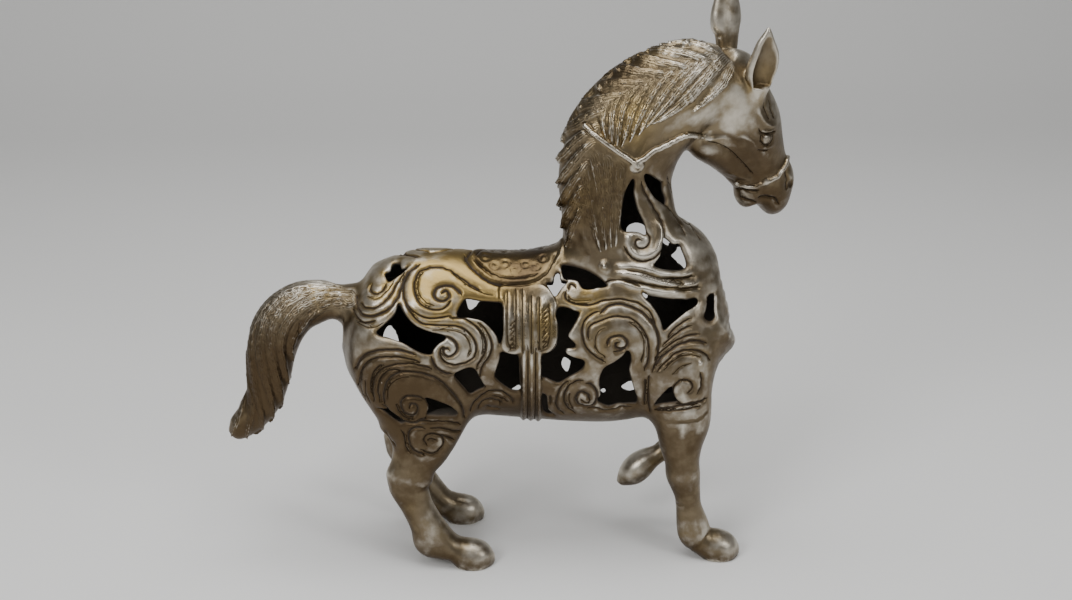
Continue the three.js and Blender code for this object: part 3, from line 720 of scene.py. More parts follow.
# Chased lines of the body, as picture points on the right side.
BODY_LINES = {
    Cut.DEEP: [
        [(420, 264.5), (413, 268), (407, 273), (403, 281), (400, 290), (397, 298), (392, 305), (387, 310),
         (380, 313.5), (372, 316), (365, 315.5), (360, 313), (357, 307), (356, 300), (357, 294)],
        [(462, 296), (459, 291), (454, 287), (448, 286), (441, 286), (436, 289), (434, 294), (436, 298),
         (440, 300.5), (445, 300.5), (449, 297), (448.5, 292.5), (444.5, 291), (441.5, 294)],
        [(440, 336), (447, 337), (453, 340), (457, 345), (457, 351), (454, 355), (449, 357), (444.5, 354.5),
         (443.5, 350.5), (447, 348.5), (450, 351)],
        [(431, 356), (434, 364), (438, 369), (445, 373), (453, 374)],
        [(355, 368), (358, 362), (364, 355), (372, 352), (380, 350.5), (390, 350), (400, 350.5), (410, 353),
         (416, 355)],
        [(385, 404), (383, 397), (384, 390), (386, 383), (391, 377), (398, 373.5), (406, 372), (415, 372.5),
         (425, 374.5), (435, 378), (443, 383), (450, 390), (456, 397), (461, 404), (464, 411), (465, 418)],
        [(424, 399), (415, 397), (408, 397), (403, 399), (400.5, 404), (402, 410), (406, 414), (411, 416),
         (416, 414), (418, 409), (415, 405), (410.5, 405), (409.5, 409)],
        [(382, 404), (388, 410), (396, 417), (404, 422), (412, 423.5), (420, 421), (426, 417)],
        [(600, 314), (602, 312), (607, 307), (612, 305), (620, 304), (628, 306), (636, 309), (643, 313),
         (650, 320), (655, 327), (658, 335), (659, 343), (657, 352)],
        [(607, 347), (608, 342), (611, 338), (616, 336.5), (621, 336.5), (625, 338.5), (627.5, 342.5),
         (626, 347), (621.5, 349), (616.5, 347.5), (616, 343.5), (619.5, 342)],
        [(656, 366), (661, 358), (668, 352), (676, 346), (684, 343), (692, 341), (700, 341), (706, 343)],
        [(586, 383), (591, 385), (595, 389), (597, 394), (597, 400), (594, 404.5), (589, 406), (583, 406),
         (578, 404), (576, 400), (577, 396), (580, 393), (585, 393), (588, 396), (589, 400)],
        [(425, 428.5), (415, 428), (410, 431), (408, 436), (409, 443), (412, 449), (418, 453), (424, 455)],
        [(655, 409), (665, 408.5), (680, 406), (690, 404), (700, 402), (707, 398)],
        [(464, 255), (470, 265), (478, 273), (487, 280), (497, 284), (506, 285.5), (515, 285.5), (530, 284),
         (543, 278), (549, 272), (553, 264), (558, 253)],
    ],
    Cut.PLAIN: [
        [(372, 284), (370, 289), (373, 293), (378, 293), (383, 290), (386, 284)],
        [(404, 272), (401, 277), (397, 283), (394, 288), (390, 295), (386, 300), (380, 305), (374, 308),
         (369, 308), (364, 307), (361, 303)],
        [(352, 308), (355, 315), (359, 320), (364, 322.5), (370, 322), (376, 320.5)],
        [(413, 268), (408, 274), (404, 283), (403, 293), (405, 301), (410, 308), (417, 314), (425, 317.5),
         (434, 318.5), (445, 317), (452, 315.5)],
        [(481, 291), (475, 287), (468, 283), (462, 278), (456, 274), (451, 270), (445, 268), (437, 267),
         (428, 268), (420, 271), (416, 277), (414, 285), (415, 293), (418, 300), (423, 306), (430, 309),
         (437, 310), (443, 309), (448, 305), (451, 301)],
        [(405, 303), (410, 312), (417, 320), (424, 324), (433, 325), (445, 325.5), (455, 326), (462, 328),
         (468, 332), (473, 338), (476, 345), (476, 352), (474, 357), (469, 361), (462, 364), (455, 365),
         (449, 364), (443, 360), (440, 354), (441, 349), (444, 347.5), (446, 350)],
        [(450, 318), (462, 318.5), (470, 322), (478, 328), (484, 336), (486, 345), (484, 355), (479, 363),
         (476, 369)],
        [(478, 322), (485, 329), (490, 338), (492, 347), (489, 357), (484, 364), (481, 371), (480, 377)],
        [(358, 385), (359, 378), (361, 370), (366, 363), (372, 359.5), (380, 357.5), (392, 357),
         (402, 357.5), (412, 359.5), (420, 362)],
        [(372, 395), (370, 388), (371, 380), (373, 373), (378, 367), (384, 364)],
        [(374, 402), (372, 392), (373, 383), (376, 375), (382, 369), (390, 366), (400, 364), (410, 364),
         (422, 366), (432, 369)],
        [(380, 402), (378, 394), (378, 386), (380, 379), (385, 373), (392, 370), (402, 371)],
        [(396, 404), (398, 410), (402, 415), (408, 419), (414, 419)],
        [(410, 424), (420, 422), (435, 421.5), (450, 422), (460, 424)],
        [(421, 449), (425, 452), (430, 453.5), (436, 452), (441, 448), (444, 443), (443, 438), (438, 435),
         (431, 434), (425, 437), (424, 441), (427, 445)],
        [(427, 440), (432, 439), (437, 440)],
        [(440, 435), (447, 437), (454, 439.5)],
        [(430, 428), (445, 429), (453, 431), (461, 431)],
        [(401, 430), (404, 436), (405, 443), (406, 448), (411, 453)],
        [(385, 430), (389, 438), (396, 446)],
        [(470, 411), (474, 404), (480, 397), (487, 392.5), (494, 391), (500, 391.5), (506, 394), (510, 398),
         (513, 403)],
        [(478, 408), (483, 402), (489, 399), (494, 400), (499, 401), (500, 404)],
        [(486, 405), (492, 408), (500, 408)],
        [(566, 291), (565, 296), (567, 300), (572, 303), (580, 305), (590, 305), (597, 303), (603, 300.5),
         (610, 300), (620, 299), (630, 301), (638, 303), (644, 307), (650, 312), (656, 324)],
        [(576, 289), (574, 285), (571, 284), (569, 286), (569, 291)],
        [(600, 311), (594, 313), (588, 317), (584, 322), (582, 330), (583, 338), (585, 345), (589, 351),
         (595, 356), (601, 360), (606, 362)],
        [(589, 340), (588, 334), (589, 328), (593, 324), (598, 322), (603, 320), (608, 318), (612, 317),
         (618, 316.5), (624, 317), (630, 318), (636, 322), (641, 327), (645, 333), (648, 340), (649, 348),
         (649, 356), (647, 364), (644, 370)],
        [(613, 351), (618, 352), (623, 350), (626, 347)],
        [(649, 375), (648, 390), (648, 405), (650, 412)],
        [(645, 378), (645, 392), (644, 405)],
        [(652, 317), (655, 325), (658, 333), (659, 342), (658, 352), (656, 362), (652, 372)],
        [(667, 338), (672, 331), (678, 326), (685, 321), (691, 318)],
        [(662, 346), (668, 341), (674, 336), (680, 331), (686, 327.5), (692, 325)],
        [(655, 360), (660, 353), (667, 347), (674, 342), (682, 338), (690, 335), (700, 334)],
        [(657, 372), (662, 366), (668, 360), (675, 354), (683, 350.5), (692, 350), (700, 351), (707, 355),
         (710, 360)],
        [(681, 380), (686, 380), (691, 382), (693, 387), (690, 392), (687, 393)],
        [(683, 379), (676, 384), (673, 390), (674, 397), (679, 403), (686, 405), (695, 405)],
        [(700, 372), (702, 380), (701, 388), (697, 394)],
        [(657, 411), (668, 411), (685, 409.5), (700, 406)],
        [(583, 380), (575, 382), (569, 386), (566, 391), (564, 397), (565, 404), (569, 410), (575, 413)],
        [(570, 380), (563, 385), (559, 391), (557, 398), (556, 405), (559, 411), (564, 414)],
        [(588, 408), (595, 408), (602, 410), (610, 410.5), (618, 408), (625, 407), (632, 407)],
        [(550, 395), (550, 405)],
        [(475, 260), (481, 266), (488, 272), (495, 276), (500, 278), (510, 279.5), (520, 279), (530, 277.5),
         (538, 275)],
        [(507.5, 292), (507, 320), (507.5, 338), (509.5, 345), (515, 349)],
        [(516, 290), (516, 330), (516, 348)],
        [(522.5, 290), (522.5, 330), (523, 352)],
        [(531.5, 296), (531.5, 330), (531.5, 352)],
        [(539.5, 298), (539.5, 330), (539.5, 349)],
        [(549, 304), (550, 322), (549.5, 338), (547, 345), (541, 349)],
        [(600, 288), (608, 281), (620, 280), (632, 283), (640, 287)],
        [(627, 270), (640, 272), (650, 275), (660, 278), (670, 278.5), (683, 278), (694, 276)],
        [(618, 279), (630, 281), (640, 283), (655, 286), (668, 287.5), (685, 288), (700, 287)],
    ],
    Cut.SOFT: [
        [(662, 421), (670, 422), (680, 421.5), (690, 421), (697, 420), (703, 416), (708, 410)],
        [(709, 530), (706, 537), (701, 543), (695, 547), (689, 549)],
        [(668, 497), (676, 503), (684, 505)],
    ],
    Cut.FINE: [
        [(640, 275), (655, 279), (668, 282), (682, 283)],
        [(368, 297), (374, 299), (382, 296), (389, 289), (394, 281)],
        [(357, 322), (366, 327), (376, 327), (384, 322)],
        [(424, 272), (419, 279), (418, 289), (421, 297), (427, 303), (435, 306)],
        [(470, 266), (480, 276), (492, 284), (502, 288)],
        [(452, 273), (462, 281), (472, 288), (484, 294), (494, 296)],
        [(457, 316), (466, 319), (475, 326), (481, 335), (483, 346), (481, 356)],
        [(432, 330), (445, 330), (456, 331), (464, 335), (469, 342), (470, 350), (467, 356)],
        [(366, 380), (366, 392), (371, 403)],
        [(362, 372), (361, 386), (366, 400)],
        [(388, 400), (388, 390), (392, 383), (400, 378), (410, 377)],
        [(606, 327), (598, 332), (595, 342), (598, 351), (606, 357)],
        [(628, 322), (637, 328), (643, 338), (644, 350), (641, 362)],
        [(664, 370), (672, 362), (682, 356), (692, 355), (700, 357)],
        [(672, 374), (682, 366), (692, 363)],
        [(590, 398), (589, 402), (584, 402), (581, 398)],
        [(570, 392), (569, 400), (573, 408)],
        [(492, 396), (502, 397), (507, 402)],
        [(568, 294), (571, 299), (580, 301), (592, 300)],
    ],
    Cut.RIDGE: [
        [(503, 290), (503, 320), (503.5, 340), (506, 348), (512, 352.5), (518, 352)],
        [(554, 304), (555.5, 322), (554, 340), (549, 348), (541, 352)],
        [(519, 284), (519, 320), (519, 352)],
        [(536, 297), (535.5, 320), (535.5, 352)],
        [(470, 259), (477, 267), (485, 274), (493, 279), (502, 282.5), (512, 284)],
        [(542, 274), (547, 268), (551, 261), (555, 253)],
        [(600, 262), (604, 261), (609, 263), (611, 268), (608, 272), (603, 272)],
    ],
    Cut.ROLL: [
        [(612, 267), (625, 266), (640, 267.5), (650, 270), (660, 273), (670, 274), (682, 274), (694, 271)],
        [(608, 283), (620, 282), (632, 286), (645, 289), (655, 291), (668, 292), (682, 292), (700, 291)],
    ],
    Cut.CORD: [
        [(612, 273), (632, 273.5), (645, 277), (655, 280.5), (665, 283), (677, 284.5), (692, 283),
         (704, 279)],
    ],
}
# Wavy hair, bridle and leaf scroll of the neck.
NECK_LINES = {
    Cut.PLAIN: [
        [(641, 181), (644.5, 191), (649.5, 200), (655.5, 210), (661, 220), (664, 231), (664, 242),
         (661, 251), (655, 257.5), (647, 261), (639, 261), (632, 258), (627, 252), (624, 246)],
        [(646, 231), (649.5, 237), (649, 243.5), (644.5, 248), (638.5, 248), (635.5, 244), (637.5, 239.5),
         (642, 240.5)],
    ],
    Cut.ROLL: [
        [(656, 218), (660, 230), (659.5, 241), (655.5, 250), (648, 255), (640, 255.5), (633, 251.5),
         (629, 245), (628.5, 238), (632, 234), (638, 234)],
    ],
    Cut.FOLD: [
        [(583, 172), (587, 190), (590, 208), (593, 230), (599, 250)],
        [(595, 155), (600, 178), (603, 200), (604, 225), (603, 250)],
        [(612, 166), (613, 188), (611, 210), (610, 245)],
        [(573, 200), (576, 220), (580, 240), (587, 256)],
    ],
    Cut.FINE: [
        [(667, 176), (671, 190), (677, 204), (685, 217), (693, 229), (700, 240)],
        [(648, 176), (657, 190), (668, 207), (678, 222), (686, 236)],
    ],
    Cut.SOFT: [
        [(577, 190), (581, 206), (585, 222), (589, 238), (596, 252)],
        [(574, 214), (577, 228), (582, 244), (590, 256)],
        [(589, 160), (593, 178), (597, 200), (600, 224), (604, 246)],
        [(600, 158), (604, 178), (606, 200), (607, 224), (608, 244)],
        [(614, 166), (614, 186), (614, 208), (613, 230), (613, 246)],
    ],
}
HEAD_LINES = {
    Cut.RIDGE: [
        [(757, 105), (759, 113), (763, 120), (769, 125.5), (775, 126)],
        [(738, 135), (746, 137), (753, 142), (757, 149)],
        [(702, 138.5), (712, 138.5), (722, 137), (730, 139)],
        [(727, 172), (735, 174), (743, 177), (752, 180)],
        [(759, 129.5), (764, 131.5), (770, 131), (775, 129)],
        [(760, 146.5), (765, 147.5), (770, 146), (774, 142)],
        [(762, 194.5), (768, 193.5), (775, 196)],
        [(788, 172), (791, 180), (789, 188)],
    ],
    Cut.FOLD: [
        [(711, 135.5), (719, 133.5), (728, 135.5), (736, 140), (743, 146), (751, 153), (757, 162),
         (761, 171)],
        [(700, 143), (715, 144.5), (725, 149), (733, 154), (740, 161.5), (748, 170.5), (755, 178.5)],
        [(726, 178), (735, 181), (744, 183)],
    ],
    Cut.PLAIN: [
        [(758.5, 128.5), (761, 132.5), (766, 133.5), (771, 133), (775, 131)],
        [(757, 197), (768, 196.5), (775, 198.5), (779, 204)],
        [(736, 188), (744, 190), (754, 191), (760, 190)],
        [(741, 196), (748, 200), (756, 202)],
        [(785, 168), (786.5, 178), (786, 190)],
    ],
    Cut.FINE: [
        [(760.5, 134), (760, 139), (762, 143), (766, 144.5), (770, 143), (772.5, 139), (773, 135)],
        [(758, 149.5), (764, 150.5), (770, 149.5)],
        [(706, 141), (717, 142.5), (727, 147.5), (735, 154), (744, 163.5), (753, 173)],
        [(768, 100), (771, 112), (774, 118)],
        [(762, 102), (765, 112), (769, 119)],
    ],
}
# Lines at the root of the tail.
TAIL_LINES = {
    Cut.PLAIN: [
        [(350, 305), (335, 306), (318, 308), (307, 314), (300, 324), (297, 338)],
    ],
    Cut.SOFT: [
        [(352, 292), (335, 291), (316, 291)],
        [(353, 297), (338, 297), (322, 298)],
        [(354, 302), (340, 302), (326, 303)],
    ],
}
# Long locks of the mane, which fall on the side, and flat ones of the neck.
MANE = [
    Lock([(730, 70), (722, 84), (710, 96), (692, 111)], 3.6),
    Lock([(724, 58), (714, 68), (700, 84), (684, 101), (667, 114), (651, 124)], 5.4),
    Lock([(712, 57), (700, 65), (686, 79), (671, 97), (657, 113), (644, 128)], 5.4),
    Lock([(697, 61), (684, 69), (671, 83), (659, 99), (648, 116), (637, 136)], 5.4),
    Lock([(680, 66), (668, 74), (656, 87), (646, 103), (637, 121), (629, 142)], 5.2),
    Lock([(664, 71), (652, 79), (642, 92), (633, 109), (627, 127), (621, 147)], 5.0),
    Lock([(648, 77), (637, 85), (628, 98), (621, 114), (618, 131), (616, 149)], 4.8),
    Lock([(632, 84), (621, 93), (614, 106), (611, 121), (611, 134), (612, 147)], 4.2),
    Lock([(616, 94), (607, 104), (603, 116), (603, 126), (606, 138)], 3.6),
    Lock([(583, 166), (587, 190), (591, 212), (596, 236), (601, 252)], 4.2, 1.3, 3),
    Lock([(594, 156), (599, 180), (602, 204), (604, 228), (606, 250)], 4.2, 1.3, 3),
    Lock([(607, 160), (609, 182), (610, 206), (610, 230), (611, 248)], 4.2, 1.3, 3),
    Lock([(621, 168), (619, 186), (618, 208), (616, 230), (616, 246)], 4.0, 1.2, 3),
]
# Short locks over the crest, each on the root of the next: points, half width and thickness.
CREST = [
    ([(716, 52), (702, 46.5), (690, 43.5), (678, 43), (668, 46)], 3.6, 3.2),
    ([(708, 61), (694, 57), (680, 54), (664, 51.5), (648, 52)], 4.8, 3.4),
    ([(690, 69), (672, 66.5), (655, 63), (639, 60), (622, 62)], 5.0, 3.5),
    ([(668, 76), (650, 74), (634, 72.5), (618, 71.5), (601, 77)], 5.2, 3.6),
    ([(648, 85), (630, 84.5), (614, 85), (598, 88), (580, 97.5)], 5.4, 3.6),
    ([(628, 96), (612, 98), (597, 102), (582, 108.5), (566, 119)], 5.4, 3.6),
    ([(611, 109), (597, 113.5), (584, 120), (572, 128.5), (561, 140)], 5.2, 3.5),
    ([(600, 125), (589, 132), (578, 140), (569, 150), (560, 161)], 5.0, 3.4),
    ([(592, 143), (583, 152), (575, 162), (568, 172), (560.5, 184)], 4.8, 3.3),
    ([(587, 163), (580, 173), (573, 184), (567, 195), (561, 206)], 4.6, 3.2),
    ([(584, 184), (578, 195), (573, 206), (568, 217), (564, 228)], 4.4, 3.1),
    ([(583, 206), (578, 217), (574, 228), (571, 238), (569, 248)], 4.2, 3.0),
]
MANE += [Lock(dots, half_width, thickness, 4, -0.4, True) for dots, half_width, thickness in CREST]
# Locks of the tail, from its outer edge to the steps of its inner one.
TAIL_LOCKS = [
    Lock([(292, 290), (268, 303), (254, 324), (250, 350), (253, 378), (258, 400), (262, 424),
          (258, 440)], 5.2, 1.5),
    Lock([(318, 287), (288, 294), (268, 311), (260, 336), (262, 364), (268, 388), (272, 408),
          (272, 425)], 5.6, 1.6),
    Lock([(336, 289), (308, 292), (286, 303), (272, 322), (270, 348), (275, 372), (280, 392),
          (281, 410)], 5.6, 1.6),
    Lock([(350, 295), (324, 297), (302, 306), (286, 324), (280, 346), (284, 366), (288, 384)], 5.4, 1.6),
    Lock([(352, 302), (332, 303), (312, 312), (298, 330), (291, 345), (292, 361)], 5.0, 1.6),
    Lock([(247, 345), (247, 368), (250, 390), (252, 412), (246, 438)], 4.6, 1.4),
    Lock([(246, 388), (243, 404), (238, 420), (231, 437)], 4.4, 1.3),
]
ROPES = [
    Rope([(585, 126), (592, 132.5), (601, 139.5), (614, 149), (628, 158.5), (636, 164)]),
    Rope([(636, 164), (643, 159), (652, 152), (668, 144), (681, 137), (690, 135), (702, 137)]),
    Rope([(737, 183), (745, 185.5), (755, 186), (761, 184), (767, 181), (775, 178), (780, 173),
          (785, 165), (788, 157)], 1.5, 0.7),
]
BOSSES = [
    Boss((636, 165), 5.2, 2.6),
    Boss((636, 165), 2.2, 4.2),
    Boss((605, 266), 4.4, 1.2),
    Boss((605, 266), 2.0, 2.2),
    Boss((766, 181), 3.2, 1.8),
    Boss((766, 139), 3.6, 1.5),
    Boss((790, 183), 3.0, -1.6),
    Boss((700, 363), 1.8, 1.0, Side.RIGHT),
    Boss((521, 249), 2.6, 1.8, Side.RIGHT),
]


@dataclass
class Track:
    """A path on the skin, with its directions, ready to be chased."""

    points: np.ndarray
    outward: np.ndarray

    def __post_init__(self) -> None:
        """Work out the path's tangents, side directions and travelled length."""
        self.along = unit(np.gradient(self.points, axis=0))
        self.sideways = unit(np.cross(self.outward, self.along))
        self.travelled = path_length(self.points)

    @property
    def length(self) -> float:
        """The path's length in millimetres."""
        return float(self.travelled[-1])


def outline(corners: np.ndarray, where: np.ndarray) -> np.ndarray:
    """Signed distance of flat points to a closed outline, negative inside."""
    nearest, crossings = np.full(len(where), 1e9), np.zeros(len(where), int)
    for corner, end in zip(corners, np.roll(corners, -1, axis=0)):
        side, away_x, away_y = end - corner, where[:, 0] - corner[0], where[:, 1] - corner[1]
        part = np.clip((away_x * side[0] + away_y * side[1]) / max(side @ side, 1e-9), 0, 1)
        apart = (away_x - side[0] * part) ** 2 + (away_y - side[1] * part) ** 2
        np.minimum(nearest, apart, out=nearest)
        above = (away_y < 0) != (away_y < side[1])
        rise = side[1] if abs(side[1]) > 1e-9 else 1e-9
        crossings += above & (away_x < side[0] * away_y / rise)
    return np.where(crossings % 2 == 1, -np.sqrt(nearest), np.sqrt(nearest))


@dataclass
class Casting:
    """The statue's one casting: skin, hollow, openings and chasing as one distance field.

    It works on the cells of its lattice whose distance from the skin is between inmost and outmost.
    Bands beside chased lines are rounded off by band_depth over band_reach. Sight lines are
    drilled past and over the two places named so, across and up.
    """

    skin: Skin
    pitch: float
    inmost: float = -9.0
    outmost: float = 5.5
    band_reach: float = 4.6
    band_depth: float = 1.05
    drilled_past: float = -12.0
    drilled_over: float = 90.0
    plate_edge: float = 1.2
    triangles: int = 196000

    def __post_init__(self) -> None:
        """Carry the skin to the fine lattice and list the cells near it."""
        self.fine = Lattice.over(*FINE_BOX, self.pitch)
        self.cups: list[tuple[tuple[slice, slice, slice], np.ndarray]] = []
        self.base = finer(self.skin.field, self.skin.lattice, self.fine)
        self.grow_ears()
        self.cells = np.flatnonzero((self.base > self.inmost) & (self.base < self.outmost))
        self.order = np.full(self.base.shape, -1, np.int32)
        self.order.reshape(-1)[self.cells] = np.arange(len(self.cells), dtype=np.int32)
        index = np.stack(np.unravel_index(self.cells, self.base.shape), axis=1)
        self.points = (self.fine.low + self.fine.pitch * index).astype(np.float32)
        self.raised, self.cut, self.hair, self.strand = (self.blank() for _ in range(4))
        self.shade, self.gold, self.polish_and_highlight = (self.blank() for _ in range(3))
        self.nearest, self.sideways = self.blank(UNTOUCHED), self.blank(UNTOUCHED)
        self.edge, self.added, self.solid = (self.blank(v) for v in (NOWHERE, NOWHERE, -NOWHERE))
        self.mark_cups()
        far = (self.points[:, 1] > self.drilled_past) & (self.points[:, 2] > self.drilled_over)
        self.far = np.flatnonzero(far)
        back, right, up = (axis.astype(np.float32) for axis in self.skin.eye.axes())
        seen = self.points[self.far] - self.skin.eye.place().astype(np.float32)
        deep = -(seen @ back)
        self.spots = np.stack([seen @ right / deep, -(seen @ up) / deep], axis=1) * self.skin.eye.focal
        self.spots += np.array(self.skin.eye.middle, np.float32)
        LOG.info("lattice of %s, %d cells near the skin", self.base.shape, len(self.cells))

    def blank(self, value: float = 0.0) -> np.ndarray:
        """A table of one number for each listed cell."""
        return np.full(len(self.cells), value, np.float32)

    def grow_ears(self) -> None:
        """Join both ears to the head and scoop out their cups.

        The left ear stands 6 mm further back, and higher: its root by 8 mm, the rest by 20 mm.
        """
        for side in (1, -1):
            back, root_lift, lift = (0, 0, 0) if side > 0 else (6, 8, 20)
            rows = np.array([[forward - back, up + lift, side * out] for forward, up, out, *_ in EAR])
            rows[0, 1] += root_lift - lift
            middle = self.skin.head_point(rows)
            shell = [[*place, wide, deep, deep] for place, (*_, wide, deep) in zip(middle, EAR)]
            cup_middle = middle[1:6] + side * CUP_OUT * self.skin.head_axes[2]
            cup = [[*place, wide * CUP_WIDTH, deep * CUP_DEPTH, deep * CUP_DEPTH]
                   for place, (*_, wide, deep) in zip(cup_middle, EAR[1:6])]
            window = self.fine.window(middle.min(0) - FIELD_REACH, middle.max(0) + FIELD_REACH)
            points = self.fine.points(window)
            ear = Sweep(shell, EAR_TURN).distance(points)
            hole = Sweep(cup, EAR_TURN).distance(points)
            scooped = blend_high(ear, -hole, 1.2)
            part = self.base[window].reshape(-1)
            joined = blend_low(part, scooped, 3.0)
            self.base[window] = joined.reshape(self.base[window].shape)
            # The cup's depth, kept to paint shade in it.
            self.cups.append((window, smooth_step(-hole, -1.5, 1.5) * smooth_step(2.5 - ear, 0, 3)))

    def mark_cups(self) -> None:
        """Paint shade on the listed cells in the ears' cups."""
        for window, depth in self.cups:
            cells = self.order[window].reshape(-1)
            self.shade[cells[cells >= 0]] = depth[cells >= 0]

    def near(self, low: np.ndarray, high: np.ndarray) -> np.ndarray:
        """The listed cells inside a box."""
        found = self.order[self.fine.window(low, high)].reshape(-1)
        return found[found >= 0]

    def track(self, dots: list[tuple[float, float]], mirrored: bool, lift: float = 0.0) -> Track:
        """Lay picture points on the skin as a dense path.

        Args:
            dots: Picture points in order.
            mirrored: Whether the path goes to the horse's other side.
            lift: Height over the skin.

        Returns:
            The path with samples about 0.7 mm apart.
        """
        rows = np.asarray(dots, float)
        steps = max(int(np.linalg.norm(np.diff(rows, axis=0), axis=1).sum() / 3.0), 3)
        smooth = through(rows, np.linspace(0, len(rows) - 1, steps + 1))
        points = self.skin.seen(smooth, lift)
        if mirrored:
            points = self.skin.settle(self.skin.other_side(points), lift)
        gaps = np.linalg.norm(np.diff(points, axis=0), axis=1)
        where = np.concatenate([[0], np.cumsum(np.maximum(gaps, 1e-3))])
        count = max(int(where[-1] / TRACK_GAP), 6)
        dense = through(points, np.interp(np.linspace(0, where[-1], count), where, np.arange(len(points))))
        return Track(dense, self.skin.outward(dense))

    def beside(self, track: Track, reach: float) -> Iterator[tuple[np.ndarray, ...]]:
        """Measure the cells beside a path, one short stretch at a time.

        Args:
            track: The path.
            reach: How far to look from it.

        Yields:
            Cells, millimetres travelled along the path, signed distance sideways in the skin,
            and height over the path.
        """
        last = len(track.points) - 1
        for start in range(0, last, STRETCH):
            end = min(start + STRETCH + 1, last + 1)
            path = track.points[start:end]
            cells = self.near(path.min(0) - reach, path.max(0) + reach)
            if not len(cells):
                continue
            points = self.points[cells]
            apart = (path**2).sum(1)[None] - 2.0 * points @ path.T
            nearest = apart.argmin(1) + start
            relative = points - track.points[nearest]
            step = (relative * track.along[nearest]).sum(1)
            step = np.clip(step, np.where(nearest == start, 0 if start == 0 else -HALF_GAP, -HALF_GAP),
                           np.where(nearest == end - 1, 0 if end > last else HALF_GAP, HALF_GAP))
            relative = relative - track.along[nearest] * step[:, None]
            height = (relative * track.outward[nearest]).sum(1)
            flat = relative - track.outward[nearest] * height[:, None]
            distance = np.linalg.norm(flat, axis=1)
            side = np.sign((flat * track.sideways[nearest]).sum(1))
            close = (distance < reach) & (np.abs(height) < ONE_WALL)
            place = track.travelled[nearest] + step
            yield cells[close], place[close], (distance * side)[close], height[close]

    def chase(self, line: Line) -> None:
        """Cut a line: height * exp(-(d / half width)^2), running out over its ends."""
        half, height, shapes, sooted = line.cut.value
        for mirrored in (False, True):
            track = self.track(line.dots, mirrored)
            reach = self.band_reach + 1.2 if shapes else 2.6 * half
            for cells, place, sideways, _ in self.beside(track, reach):
                fade = 2.4 if height < 0 else 4 * half
                ends = smooth_step(np.minimum(place, track.length - place), -0.8, fade)
                bump = height * ends * np.exp(-((sideways / half) ** 2))
                if height < 0:
                    self.cut[cells] = np.minimum(self.cut[cells], bump)
                else:
                    self.raised[cells] = np.maximum(self.raised[cells], bump)
                if shapes:
                    edge = np.abs(sideways) + (1 - ends) * self.band_reach
                    self.edge[cells] = np.minimum(self.edge[cells], edge)
                if sooted:
                    apart = np.abs(sideways) + (1 - ends)
                    closer = apart < self.nearest[cells]
                    self.nearest[cells[closer]] = apart[closer]
                    self.sideways[cells[closer]] = sideways[closer]

    def comb(self, lock: Lock) -> None:
        """Raise a lock: its section is sqrt(1 - (d/w)^2), with strands as cosine ridges.

        A lock over the crest is a leaf that stands over the root of the next; the others
        taper from root to point.
        """
        for mirrored in (False, True):
            track = self.track(lock.dots[:-1] if mirrored and lock.over_crest else lock.dots, mirrored)
            for cells, place, sideways, _ in self.beside(track, lock.half_width + 1.0):
                part = np.clip(place / track.length, 0, 1)
                leaf, tapered = 0.6 + 0.75 * part - 0.35 * part**2, 1.0 - 0.45 * part
                width = lock.half_width * (leaf if lock.over_crest else tapered)
                width = width * np.sqrt(np.clip((1.0 - part) / LOCK_TIP, 0.0, 1.0)) + 0.05
                share = np.clip(sideways / width, -1, 1)
                dome = np.sqrt(1 - share**2) ** 0.8
                height = lock.thickness * (0.45 + 0.55 * part) * smooth_step(part, -0.05, 0.12)
                height = height * (1 + lock.lean * share)
                strands = np.cos(np.pi * lock.strands * share)
                inner = smooth_step(dome, 0.2, 0.7) * smooth_step(part, 0, 0.1)
                bump = height * dome + STRAND_HEIGHT * strands * inner
                # Painted shade: darker in the crease where this lock meets the one below it.
                below = self.raised[cells]
                apart = smooth_step(np.abs(bump - below), 0.1, 0.7)
                crease_shade = 0.8 * smooth_step(below, 0.3, 0.8) * (1 - apart)
                over = (np.abs(share) < 1) & (bump > below)
                under = (np.abs(share) < 1) & ~over
                self.shade[cells[under]] = np.maximum(self.shade[cells[under]], crease_shade[under])
                self.raised[cells[over]] = bump[over]
                self.strand[cells[over]] = sideways[over]
                self.hair[cells[over]] = smooth_step(dome, 0.0, 0.6)[over]
                # Painted shade towards the lock's edges.
                edge = 0.9 - 0.9 * smooth_step(dome, 0.15, 0.75)
                self.shade[cells[over]] = np.maximum(edge, crease_shade)[over]
                self.nearest[cells[over]] = UNTOUCHED

    def lay_rope(self, rope: Rope) -> None:
        """Join a round cord, keep other lines out of it, and give it a painted highlight and no painted
        shade.
        """
        for mirrored in (False, True):
            track = self.track(rope.dots, mirrored, rope.lift)
            for cells, _, sideways, height in self.beside(track, rope.radius + 3.0):
                tube = np.hypot(height, sideways) - rope.radius
                self.added[cells] = np.minimum(self.added[cells], tube)
                self.nearest[cells[tube < 1.0]] = UNTOUCHED
                # Painted highlight on the cord.
                self.polish_and_highlight[cells[tube < 0.8]] = 0.3
                close = cells[tube < 1.2]
                self.raised[close] = np.minimum(self.raised[close], 0.6)
                self.shade[close] = 0.0

    def raise_boss(self, boss: Boss) -> None:
        """Raise a dome: height * sqrt(1 - (d / radius)^2)."""
        for mirrored in (k == 1 for k in (0, 1) if boss.side.value[k]):
            place = self.skin.seen([boss.dot])
            if mirrored:
                place = self.skin.settle(self.skin.other_side(place))
            outward = self.skin.outward(place)[0]
            cells = self.near(place[0] - boss.radius - 4, place[0] + boss.radius + 4)
            relative = self.points[cells] - place[0]
            height = relative @ outward
            distance = np.linalg.norm(relative - height[:, None] * outward, axis=1)
            dome = boss.height * np.sqrt(np.clip(1 - (distance / boss.radius) ** 2, 0, 1))
            dome = np.where(np.abs(height) < 8, dome, 0)
            if boss.height > 0:
                self.raised[cells] = np.maximum(self.raised[cells], dome)
            else:
                self.cut[cells] = np.minimum(self.cut[cells], dome)

